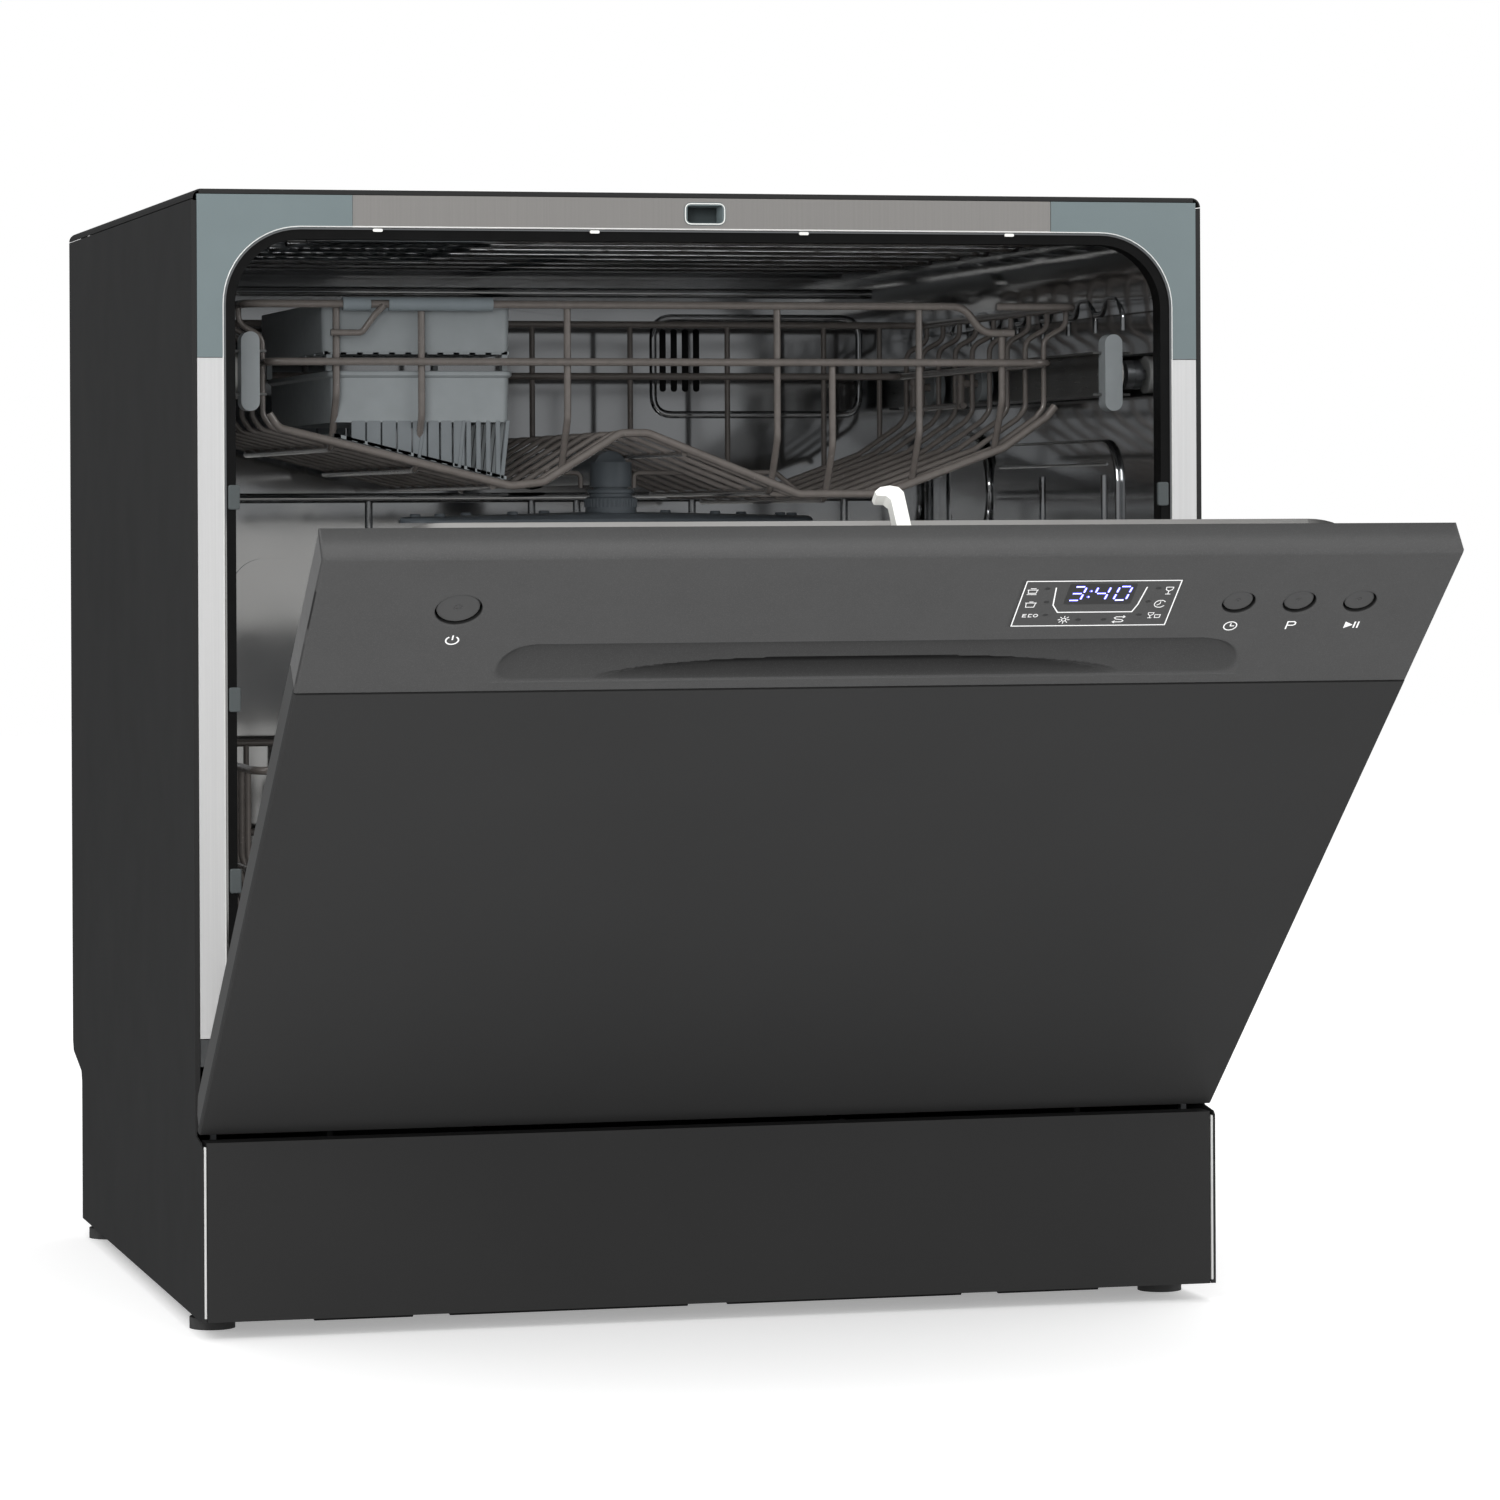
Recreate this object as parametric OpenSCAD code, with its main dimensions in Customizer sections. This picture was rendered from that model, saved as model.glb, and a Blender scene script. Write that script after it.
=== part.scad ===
// Countertop dishwasher with a drop-down door, two sliding racks and two spray arms.
// Origin: centre of the four feet on the worktop. +Z up, the door faces -Y, +X is the right side.
// The door is drawn standing part way open, at door_rest_angle from shut.

/* [Cabinet] */
// Overall width of the cabinet
cab_w = 550; // [540:1:580]
// Overall height above the worktop
cab_h = 595; // [590:1:610]
// Depth from the shut door's face to the back panel
cab_d = 500; // [490:1:520]
// Thickness of the painted sheet steel
sheet = 0.8; // [0.7:0.1:1.1]
// Gap between the worktop and the kick plate
floor_gap = 10; // [8:1:12]
// Height of the top edge of the kick plate
kick_top = 102.5; // [100:0.5:103]
// How far the lower back steps in, for the hoses
back_step = 40; // [30:1:45]
// Radius of a foot
foot_r = 12; // [10:0.5:14]
// Distance between the feet, side to side
feet_x = 522; // [500:1:524]
// Distance between the feet, front to back
feet_y = 390; // [360:1:392]

/* [Tub] */
// Outer half width of the wash tub
tub_hw = 258; // [256:0.5:258]
// Outer height of the tub ceiling
tub_top = 576.3; // [572:0.1:577]
// Corner radius of the tub opening
tub_r = 40; // [34:1:44]
// Tub wall thickness
tub_t = 0.8; // [0.7:0.1:1.2]
// Thickness of the rubber gasket round the opening
gasket_t = 5; // [4:0.5:5.5]

/* [Door] */
// Angle of the door from shut, as drawn
door_rest_angle = 51.5; // [0:0.5:90]
// Height of the door above its hinge axis
door_h = 474.5; // [472:0.5:475]
// Lower edge of the control panel above the hinge axis
panel_s = 372.5; // [368:0.5:376]
// Radius of the power button
power_r = 10.6; // [9:0.1:11]
// Radius of the three round buttons
button_r = 7.7; // [6:0.1:8]
// How far a button travels
button_travel = 1.5; // [1:0.1:2]

/* [Racks] */
// Radius of a frame wire
wire_r = 2.2; // [1.8:0.1:2.4]
// Radius of a thin wire
thin_r = 1.5; // [1.2:0.1:1.7]
// Half width of the upper rack at its rim
rack_hw = 233; // [228:1:234]
// Front of the upper rack
rack_y0 = -143.5; // [-150:0.5:-140]
// Back of the upper rack
rack_y1 = 165; // [150:1:170]
// Radius of a spray arm, upper
arm_r = 188; // [170:1:192]
// Turn of the upper spray arm, as drawn
arm_turn = 27; // [0:1:90]

/* [Hidden] */
$fn = 48;

hw = cab_w/2;                 // half width
yf = -cab_d/2;                // face of the shut door and of the kick plate
yb = cab_d/2;                 // back of the cabinet
yc = yf + 18.5;               // front edge of the cabinet, behind the shut door
ys = yb - back_step;          // back of the stepped-in base
hinge_y = yf + 8.1;           // hinge axis
hinge_z = 116.2;
eps = 0.01;

dark = [0.19, 0.19, 0.19];
steel = [0.78, 0.78, 0.78];
grey = [0.49, 0.54, 0.54];
taupe = [0.45, 0.42, 0.40];
black = [0.06, 0.06, 0.06];

// ---------- helpers ----------
// a 2D shape in (y, z), from x0 to x1
module xp(x0, x1) { translate([x0, 0, 0]) rotate([90, 0, 90]) linear_extrude(x1 - x0) children(); }
// a 2D shape in (x, z), from y0 to y1
module yp(y0, y1) { translate([0, y1, 0]) rotate([90, 0, 0]) linear_extrude(y1 - y0) children(); }
// a box from corner to corner
module bx(a, b) { translate(a) cube([b[0]-a[0], b[1]-a[1], b[2]-a[2]]); }
// rounded rectangle from (x0,y0) to (x1,y1)
module rr(x0, y0, x1, y1, r) {
  translate([x0+r, y0]) square([x1-x0-2*r, y1-y0]);
  translate([x0, y0+r]) square([x1-x0, y1-y0-2*r]);
  for (x = [x0+r, x1-r], y = [y0+r, y1-r]) translate([x, y]) circle(r);
}
// an upright arch: rounded at the top corners only, from the floor line z0
module arch(h, z0, z1, r) {
  translate([-h, z0]) square([2*h, z1-r-z0]);
  translate([-h+r, z0]) square([2*(h-r), z1-z0]);
  for (x = [-h+r, h-r]) translate([x, z1-r]) circle(r);
}
module mirror_x() { children(); mirror([1, 0, 0]) children(); }
// a round bar between two points
module rod(p, q, r) {
  d = q - p; l = norm(d);
  translate(p) rotate([0, acos(d[2]/l), atan2(d[1], d[0])]) cylinder(h = l, r = r, $fn = 20);
}
// outline of a bent wire, from its centre line
function nrm(a, b) = let (u = (b-a)/norm(b-a)) [-u[1], u[0]];
function side(p, i, r) = i == 0 ? p[0] + nrm(p[0], p[1])*r : i == len(p)-1 ? p[i] + nrm(p[i-1], p[i])*r
  : let (a = nrm(p[i-1], p[i]), b = nrm(p[i], p[i+1])) p[i] + (a+b)*r/(1+a*b);
function band(p, r) = concat([for (i = [0 : len(p)-1]) side(p, i, r)], [for (i = [len(p)-1 : -1 : 0]) side(p, i, -r)]);
// a wire bent in the (x, z) plane at y, and one bent in the (y, z) plane at x
module xz_wire(p, y, r) { yp(y-r, y+r) polygon(band(p, r)); }
module yz_wire(p, x, r) { xp(x-r, x+r) polygon(band(p, r)); }
// a closed wire loop with round corners at height z
module loop(x0, y0, x1, y1, rc, z, r) {
  translate([0, 0, z-r]) linear_extrude(2*r) difference() {
    rr(x0-r, y0-r, x1+r, y1+r, rc+r);
    rr(x0+r, y0+r, x1-r, y1-r, rc-r);
  }
}
// cylinder along x
module xc(x0, x1, y, z, r) { translate([x0, y, z]) rotate([0, 90, 0]) cylinder(h = x1-x0, r = r); }
// cylinder along y
module yc_(y0, y1, x, z, r) { translate([x, y1, z]) rotate([90, 0, 0]) cylinder(h = y1-y0, r = r); }
// door parts are drawn shut, with z up from the hinge axis and -y outward, then turned to rest
module on_door() { translate([0, hinge_y, hinge_z]) rotate([door_rest_angle, 0, 0]) children(); }

// ---------- cabinet ----------
// side sheet outline in (y, z): stepped out at the foot in front, stepped in at the foot behind
side_pts = [[yf+0.5, floor_gap], [yf+0.5, kick_top-2], [yf+2.5, kick_top], [yc-1, kick_top+2], [yc, kick_top+3],
            [yc, cab_h-5.5], [yb, cab_h-5.5], [yb, 112], [yb-3, 106], [ys+3, 97], [ys, 91], [ys, floor_gap]];
module side_sheet() {
  xp(hw-sheet, hw) polygon(side_pts);
  // folded front edge beside the door
  bx([hw-2.6, yc, kick_top+4], [hw-sheet+0.2, yc+1, cab_h-6]);
  // folded front edge beside the kick plate
  bx([hw-2.6, yf+0.5, floor_gap], [hw-sheet+0.2, yf+1.5, kick_top-3]);
  // folded foot
  bx([hw-12, -172, floor_gap], [hw-sheet+0.2, 172, floor_gap+1]);
}
module side_panels() color(dark) mirror_x() side_sheet();

module top_panel() color(dark) {
  yp(yc, yb) intersection() {
    difference() {
      rr(-hw, cab_h-30, hw, cab_h, 5);
      rr(-hw+sheet, cab_h-40, hw-sheet, cab_h-sheet, 4);
    }
    translate([-hw-1, cab_h-5]) square([cab_w+2, 10]);
  }
  // folded front edge
  bx([-hw+4, yc, cab_h-2.4], [hw-4, yc+1, cab_h-sheet+0.2]);
}

// sheet that follows the stepped back
module back_panel() color(dark) difference() {
  union() {
  bx([-268, yb-1.2, cab_h-6.5], [268, yb-0.2, cab_h-1.3]);
  xp(-hw+1.4, hw-1.4) polygon([
    [yb-1.2, cab_h-6.3], [yb-0.2, cab_h-6.3], [yb-0.2, 112.1], [yb-3.1, 106.1], [ys+2.9, 97.1], [ys-0.1, 91.1], [ys-0.1, 14],
    [ys-1.1, 14], [ys-1.1, 91.4], [ys+2.2, 98], [yb-3.9, 107], [yb-1.2, 112.4]]);
  }
  // holes for the water inlet, the drain and the cord
  yc_(ys-5, ys+5, -160, 52, 16);
  yc_(ys-5, ys+5, -100, 52, 14);
  yc_(ys-5, ys+5, 188, 52, 9.3);
  // vent slots
  for (i = [0:7]) bx([150, yb-5, 250+14*i], [230, yb+5, 255+14*i]);
}

// moulded tray that carries the tub, pumps and hinges
module base_tray() color(black) difference() {
  union() {
    difference() {
      bx([-hw+2.8, yc+2, 12], [hw-2.8, ys-1.4, 98]);
      bx([-hw+5.6, yc+4.8, 14.8], [hw-5.6, ys-4.2, 99]);
    }
    // foot bosses
    for (x = [-1, 1], y = [-1, 1]) translate([x*feet_x/2, y*feet_y/2, 14]) cylinder(h = 16, r = 8.6);
    // lip tabs below the kick plate
    for (t = [[-212, -160], [-140, -12], [10, 139], [160, 216]]) yp(yc+6, yc+8.5)
      polygon([[t[0]-3, 13], [t[0], 5.6], [t[1], 5.6], [t[1]+3, 13]]);
    // stiffening ribs that the tub stands on
    for (x = [-204, 204]) bx([x-1.5, yc+3.5, 14], [x+1.5, ys-3, 118]);
    // pump cradle
    bx([-96, 84, 14], [-92, 152, 34]);
    bx([16, 84, 14], [20, 152, 34]);
  }
  for (x = [-1, 1], y = [-1, 1]) translate([x*feet_x/2, y*feet_y/2, 11]) cylinder(h = 15, r = 4.1);
  yc_(ys-8, ys+2, -160, 52, 14.4);
  yc_(ys-8, ys+2, -100, 52, 12);
  yc_(ys-8, ys+2, 188, 52, 9.3);
}

module leveling_feet() color([0.25, 0.25, 0.25]) for (x = [-1, 1], y = [-1, 1]) translate([x*feet_x/2, y*feet_y/2, 0]) {
  cylinder(h = 6, r = foot_r);
  translate([0, 0, 5.9]) cylinder(h = 3, r = 7, $fn = 6);
  translate([0, 0, 8]) cylinder(h = 16, r = 4.05);
}

module kick_plate() color(dark) translate([0, 0, floor_gap]) {
  difference() {
    linear_extrude(kick_top-floor_gap) translate([0, 0]) difference() {
      union() { translate([-hw+2.8, yf+1.5]) square([cab_w-5.6, 15]); rr(-hw+2.8, yf, hw-2.8, yf+6, 1.5); }
      translate([-hw+3.8, yf+1]) square([cab_w-7.6, 20]);
    }
  }
  bx([-hw+3.3, yf+0.5, kick_top-floor_gap-sheet], [hw-3.3, yf+16.5, kick_top-floor_gap]);
  bx([-hw+3.3, yf+0.5, 0], [hw-3.3, yf+16.5, sheet]);
}

// stainless front flanges: left, right and top centre with the latch slot
module frame_strips() color(steel) {
  mirror_x() bx([tub_hw+0.2, yc, 154.6], [hw-2.8, yc+0.9, 507.4]);
  difference() {
    bx([-190.2, yc, tub_top-0.9], [190.2, yc+0.9, cab_h-2.7]);
    yp(yc-1, yc+2) rr(-12.5, 578, 10.3, 590.2, 4);
  }
}

module corner_caps() color(grey) mirror_x() difference() {
  union() {
    bx([190.4, yc-0.3, tub_top-0.9], [hw-2.8, yc+1.7, cab_h-2.7]);
    bx([tub_hw-tub_r, yc-0.3, 507.7], [hw-2.8, yc+1.7, tub_top]);
  }
  yp(yc-2, yc+4) arch(tub_hw+0.15, 400, tub_top+0.15-1.2, tub_r);
}

// sides and ceiling of the tub, open to the front
module tub_shell() color(steel) {
  difference() {
    yp(yc, ys+5) arch(tub_hw, 125, tub_top-1.2, tub_r);
    yp(yc-1, ys+6) arch(tub_hw-tub_t, 120, tub_top-1.2-tub_t, tub_r-tub_t);
  }
  // ledges that carry the lower rack's wheels
  mirror_x() bx([216, yc+16, 140], [tub_hw-tub_t+0.3, ys+4.8, 141.2]);
}

module tub_back() color(steel) difference() {
  union() {
    yp(ys+5.2, ys+6.4) arch(tub_hw, 125, tub_top-1.2, tub_r);
    // pressed ribs
    for (x = [-150, -50, 50, 150]) yp(ys+3.6, ys+5.4) rr(x-34, 200, x+34, 400, 20);
  }
  yc_(ys, ys+9, 0, 452, 11.3);
  // vent slots
  for (i = [0:3]) yp(ys, ys+9) rr(80+7*i, 500, 84+7*i, 538, 1.8);
}

module tub_floor() color(steel) difference() {
  union() {
    bx([-tub_hw+tub_t+0.2, yc+3, 126], [tub_hw-tub_t-0.2, ys+5, 127.2]);
    // front sill
    bx([-tub_hw+tub_t+0.2, yc+1.6, 126], [tub_hw-tub_t-0.2, yc+2.8+0.4, 138]);
    // risers below the wheel ledges
    mirror_x() bx([216.2, yc+16, 127], [217.4, ys+3, 139.8]);
  }
  translate([0, 0, 120]) cylinder(h = 20, r = 100.4);
  translate([-160, -90, 120]) cylinder(h = 20, r = 31.4);
}

module door_gasket() color(black) {
  difference() {
    yp(yc+0.6, yc+13) arch(tub_hw-tub_t-0.05, 155, tub_top-1.2-tub_t-0.05, tub_r-tub_t);
    yp(yc-1, yc+15) arch(tub_hw-tub_t-gasket_t, 150, tub_top-1.2-tub_t-gasket_t, tub_r-tub_t-gasket_t);
  }
  // lower lip on the sill
  bx([-240, yc+0.3, 129], [240, yc+1.5, 139]);
}

module latch_bezel() color(grey) difference() {
  union() {
    yp(yc-0.3, yc+0.9) rr(-12.4, 578.1, 10.2, 590.1, 3.9);
    bx([-30, yc+1.1, 577.2], [30, yc+36, 591.6]);
    yp(yc+0.5, yc+3) rr(-12.4, 578.1, 10.2, 590.1, 3.9);
  }
  yp(yc-3, yc+3.5) rr(-11.2, 579.3, 9, 588.9, 2.8);
  difference() {
    bx([-28.5, yc+3, 578.6], [28.5, yc+34.5, 590.2]);
    translate([-19, yc+28, 570]) cylinder(h = 30, r = 1.5);
  }
}

// dark sprung catch behind the bezel, on an upright pin
module latch_catch() color(black) difference() {
  union() {
    translate([-19, yc+28, 579.4]) cylinder(h = 9.6, r = 3.6);
    bx([-21, yc+7.5, 579.4], [-17, yc+28, 589]);
    translate([0, 0, 579.4]) linear_extrude(9.6) polygon([[-20, yc+7], [-13, yc+7], [-8.6, yc+12], [-8.6, yc+19], [-17.2, yc+19]]);
  }
  translate([-19, yc+28, 570]) cylinder(h = 30, r = 1.55);
}

// steel ears with the hinge pins
module hinge_brackets() color([0.5, 0.5, 0.5]) mirror_x() {
  xp(263.4, 266.4) union() {
    translate([hinge_y, hinge_z]) circle(6.4);
    polygon([[hinge_y, hinge_z-6.3], [hinge_y, hinge_z+6.3], [yc+1.4, hinge_z+6.3], [yc+1.4, 150], [yc+10, 150], [yc+10, 60], [yc+5.2, 60], [yc+5.2, hinge_z-9], [yc+1.4, hinge_z-6.3]]);
  }
  // plate that bolts to the tray, with its grey cover block beside the tub
  bx([258.6, yc+5.2, 60], [263.5, yc+7.2, 92]);
  bx([258.8, yc+1.4, 140], [272, yc+10, 154]);
  // pin
  xc(262.5, 271.6, hinge_y, hinge_z, 4);
}

// ---------- wash system ----------
module sump() color(black) {
  difference() {
    union() {
      translate([0, 0, 122.2]) cylinder(h = 3.6, r = 108);
      translate([0, 0, 70]) cylinder(h = 53, r1 = 62, r2 = 99);
      translate([0, 0, 40]) cylinder(h = 31, r = 62);
      xc(-88, -50, 20, 62, 14);
      yc_(30, 71.8, -50, 62, 10);
    }
    translate([0, 0, 72]) cylinder(h = 60, r1 = 59, r2 = 98);
    translate([0, 0, 43]) cylinder(h = 31, r = 59);
    xc(-90, -48, 20, 62, 11);
    yc_(28, 73, -50, 62, 7.5);
  }
  // post that carries the lower spray arm
  difference() {
    union() {
      translate([0, 0, 42]) cylinder(h = 114, r = 15);
      translate([0, 0, 155.5]) cylinder(h = 5, r = 10);
    }
    translate([0, 0, 60]) cylinder(h = 120, r = 7);
  }
}

module filter_plate() color(steel) difference() {
  union() {
    translate([0, 0, 126]) cylinder(h = 1.6, r = 100);
    translate([0, 0, 120]) cylinder(h = 6.2, r = 88);
  }
  translate([0, 0, 110]) cylinder(h = 30, r = 15.5);
  translate([36, -18, 110]) cylinder(h = 30, r = 20.4);
  translate([0, 0, 110]) cylinder(h = 14.6, r = 86.8);
}

module filter_cup() color([0.3, 0.3, 0.32]) translate([36, -18, 0]) {
  difference() {
    union() {
      translate([0, 0, 88]) cylinder(h = 42, r = 20);
      translate([0, 0, 127.8]) cylinder(h = 5, r = 24);
    }
    translate([0, 0, 90]) cylinder(h = 50, r = 18);
  }
  // cross grip
  bx([-19, -2, 118], [19, 2, 142]);
}

module softener_tank() color([0.85, 0.85, 0.82]) difference() {
  union() {
    bx([-200, -160, 24], [-114, -40, 112]);
    translate([-160, -90, 110]) cylinder(h = 18, r = 30);
  }
  translate([-160, -90, 30]) cylinder(h = 110, r = 24.1);
}

module salt_cap() color([0.2, 0.2, 0.22]) translate([-160, -90, 0]) {
  translate([0, 0, 128.3]) cylinder(h = 6, r = 34);
  translate([0, 0, 114]) cylinder(h = 15, r = 23.6);
  bx([-26, -3, 134], [26, 3, 143]);
}

// circulation pump with its heater ring, on its side
module heater_pump() color([0.35, 0.36, 0.38]) {
  xc(-90, -28, 118, 62, 34);
  xc(-28.5, -14, 118, 62, 44);
  xc(-14.5, 12, 118, 62, 26);
  translate([-21, 118, 62]) cylinder(h = 52, r = 9);
  yc_(72, 100, -50, 62, 10);
}

module drain_pump() color([0.3, 0.45, 0.35]) {
  xc(-158, -104, 20, 62, 24);
  xc(-104.5, -88.3, 20, 62, 30);
}

// threaded water inlet at the back, with its solenoid
module inlet_valve() color([0.9, 0.9, 0.88]) difference() {
  union() {
    yc_(ys-48, ys+22, -160, 52, 13.2);
    bx([-178, ys-60, 36], [-142, ys-40, 82]);
  }
  yc_(ys-30, ys+30, -160, 52, 9);
}

module drain_spigot() color(black) difference() {
  union() {
    yc_(ys-40, ys+26, -100, 52, 9.5);
    yc_(ys-1.2+1.4, ys+3, -100, 52, 20);
  }
  yc_(ys-50, ys+30, -100, 52, 7);
}

module cord_gland() color(black) difference() {
  union() {
    yc_(ys-14, ys+16, 188, 52, 9);
    yc_(ys+0.2, ys+4, 188, 52, 14);
  }
  yc_(ys-20, ys+30, 188, 52, 4.2);
}

// rises behind the tub and ends in the port that feeds the upper arm
module feed_pipe() color(black) difference() {
  union() {
    translate([-21, 118, 114.2]) cylinder(h = 7, r = 9);
    bx([-30, 108, 117], [-12, ys+20, 121]);
    bx([-14, ys+8.5, 117], [14, ys+20, 466]);
    yc_(ys-4, ys+20, 0, 452, 11);
  }
  yc_(ys-10, ys+16, 0, 452, 8);
}

module roller_axles() color([0.6, 0.6, 0.6]) mirror_x() for (y = [-165, -20]) {
  xc(239.9, tub_hw-tub_t-0.05, y, 501, 3);
  xc(252.8, tub_hw-tub_t-0.05, y, 501, 8);
}

module panel_screws() color([0.5, 0.5, 0.5]) {
  for (x = [-262, 262], z = [140, 290, 440, 575]) yc_(yb-0.2, yb+1.2, x, z, 3.6);
  for (x = [-262, 262], z = [30, 80]) yc_(ys-0.1, ys+1.4, x, z, 3.6);
}

module arm_blade(l, w, t) {
  for (a = [0, 180]) rotate(a) union() {
    linear_extrude(t) polygon([[0, -w/2-3], [0, w/2+3], [l*0.35, w/2], [l-w*0.42, w*0.36], [l-w*0.42, -w*0.36], [l*0.35, -w/2]]);
    translate([l-w*0.42, 0, 0]) cylinder(h = t, r = w*0.42);
    for (k = [0.3, 0.5, 0.68, 0.84]) translate([l*k, 3, t-0.1]) cylinder(h = 2, r = 3.2);
  }
}

module lower_spray_arm() color(grey) difference() {
  union() {
    translate([0, 0, 164]) rotate(35) arm_blade(205, 44, 11);
    translate([0, 0, 157]) cylinder(h = 24, r = 24);
  }
  translate([0, 0, 150]) cylinder(h = 20, r = 10.06);
}

// ---------- upper rack ----------
module tub_roller(y) color([0.75, 0.75, 0.75]) mirror_x() difference() {
  xc(240.4, 249.4, y, 501, 10.4);
  xc(230, 260, y, 501, 3.06);
}
module tub_rollers_front() tub_roller(-165);
module tub_rollers_rear() tub_roller(-20);

// channel on both faces: the tub's rollers run outside, the rack's wheels inside
module rack_rails() color(steel) mirror_x() yp(-186, 204) union() {
  translate([238.2, 489]) square([1.2, 24]);
  translate([228.4, 489]) square([21.2, 1.2]);
  translate([228.4, 511.8]) square([21.2, 1.2]);
}

module rail_caps() color(grey) mirror_x() difference() {
  yp(-193, -181) rr(233.2, 480.6, 243.0, 522.4, 4.8);
  bx([238, -186.2, 488.8], [239.6, -180, 513.2]);
  bx([220, -186.2, 488.8], [250, -180, 490.4]);
  bx([220, -186.2, 511.6], [250, -180, 513.2]);
}

rz = 539;     // rim height
mz = 508;     // second wire height
// floor wire: a W from side to side
wfloor = [
  [-rack_hw, rz], [-rack_hw, 529], [-220, 522], [-220, 480], [-215, 472.5],
  [-88, 441], [-70, 443], [-27, 469.5], [-12, 469.5],
  [73, 436], [121, 436], [190, 461], [215, 478], [220, 484], [220, 522], [rack_hw, 529], [rack_hw, rz]];
function wz(x) = x < -215 ? 478 : x < -88 ? 472.5 + (x+215)/127*(-31.5) : x < -70 ? 441 + (x+88)/18*2
  : x < -27 ? 443 + (x+70)/43*26.5 : x < -12 ? 469.5 : x < 73 ? 469.5 - (x+12)/85*33.5 : x < 121 ? 436
  : x < 190 ? 436 + (x-121)/69*25 : 461 + (x-190)/25*17;

module upper_rack() color(taupe) {
  // rim, open at the front where the wire dips
  difference() {
    loop(-rack_hw, rack_y0, rack_hw, rack_y1, 14, rz, wire_r);
    bx([167, rack_y0-5, rz-5], [186, rack_y0+5, rz+5]);
  }
  xz_wire([[160, rz], [168, rz], [177, 524.5], [196, 524.5]], rack_y0, wire_r-0.05);
  // second wire
  loop(-219, rack_y0, 218, rack_y1-1, 10, mz, wire_r);
  // front floor wire, thick
  xz_wire([for (p = wfloor) if (p[1] < 500) p], rack_y0+0.6, wire_r+0.2);
  // floor wires behind it
  for (y = [-95, -45, 5, 55, 105, 155]) xz_wire(wfloor, y, thin_r+0.4);
  // front uprights
  for (x = [-183, -136, -56, 61, 93, 142, 190]) translate([x, rack_y0+2.6, wz(x)-0.5])
    cylinder(h = (x == 93 ? mz : rz-0.5)-wz(x)+0.5, r = thin_r+0.5);
  // bars from front to back under the floor
  for (x = [-200, -150, -100, -46, 10, 60, 97, 140, 190]) yc_(rack_y0+1, rack_y1-4, x, wz(x)-1.6, thin_r+0.3);
  // wheel studs
  mirror_x() for (y = [40, 140]) {
    xc(217, 236.9, y, 501, 2.5);
    translate([219.4, y, 486]) cylinder(h = 24, r = 2.8);
  }
  mirror_x() yc_(36, 144, 219.4, 488, 1.9);
  // short hook below the rim
  xz_wire([[-158, rz], [-170, 523.5], [-187, 523.5]], rack_y0-2.8, thin_r+0.2);
}

module rack_sleeve() color(grey) difference() {
  xc(-180, -98, rack_y0, rz, 3.7);
  bx([-181, rack_y0-wire_r-0.05, rz-wire_r-0.05], [-97, rack_y0+wire_r+0.05, rz+wire_r+0.05]);
  // cleared for the upright and the hook
  bx([-139, rack_y0+0.4, rz-5], [-133, rack_y0+5, rz+1]);
  bx([-165, rack_y0-5, rz-5], [-155, rack_y0+0.5, rz+2.2]);
}

// lower part of the cutlery basket: straight walls, then a slotted bottom that follows the sloping floor
bas_y0 = rack_y0+7; bas_y1 = 66;
module cutlery_basket() color(grey) difference() {
  union() {
    yp(bas_y0, bas_y1) polygon([[-185, 503], [-185, 468.7], [-92, 445.7], [-86.5, 470], [-85.5, 503]]);
    // rim
    yp(bas_y0-1.2, bas_y1+1.2) polygon([[-188, 504], [-188, 501], [-81, 501], [-81, 504]]);
  }
  yp(bas_y0+1.8, bas_y1-1.8) polygon([[-183.2, 510], [-183.2, 470.2], [-93, 447.9], [-88.2, 470], [-87.2, 510]]);
  // slots in the bottom and front
  for (i = [0:5]) yp(bas_y0+8+33*i, bas_y0+28+33*i) polygon([[-176, 474], [-176, 462], [-98, 443], [-98, 455]]);
  for (i = [0:3]) bx([-176+20*i, bas_y0-3, 472-i*4.6], [-172+20*i, bas_y0+3, 476]);
}

// upper tray of the cutlery basket
module cutlery_top() color(grey) difference() {
  union() {
    yp(bas_y0, bas_y1) rr(-190, 512, -86.5, 540.5, 2);
    // feet on the lower basket's rim
    for (x = [-187.5, -92], y = [bas_y0+1, bas_y1-7]) bx([x, y, 504.1], [x+3.5, y+6, 513]);
  }
  yp(bas_y0+1.8, bas_y1-1.8) translate([-188.2, 513.8]) square([99.9, 40]);
  for (i = [0:5]) bx([-180, bas_y0+8+33*i, 510], [-96, bas_y0+28+33*i, 516]);
}

// duct under the rack, from the rear port to the upper arm
module upper_feed_duct() color(grey) difference() {
  union() {
    yc_(0, 204, 0, 452, 9.5);
    translate([0, 0, 441]) cylinder(h = 14, r = 12);
    translate([0, 0, 428]) cylinder(h = 14, r = 9.94);
    // clips round a floor bar
    for (y = [36, 76]) bx([2, y, 452], [14, y+8, 461.9]);
  }
  yc_(3, 205, 0, 452, 7.5);
  translate([0, 0, 427]) cylinder(h = 25, r = 7);
  yc_(30, 90, 10, wz(10)-1.6, thin_r+0.36);
}

module upper_spray_arm() color(grey) difference() {
  union() {
    translate([0, 0, 420.5]) rotate(arm_turn) arm_blade(arm_r, 40, 8.5);
    translate([0, 0, 420.5]) cylinder(h = 11, r = 17);
    translate([0, 0, 431]) cylinder(h = 9, r = 13.5);
    for (a = [0:30:330]) rotate(a) translate([13.2, 0, 431.5]) cylinder(h = 7, r = 1);
  }
  translate([0, 0, 427]) cylinder(h = 20, r = 10);
}

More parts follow.
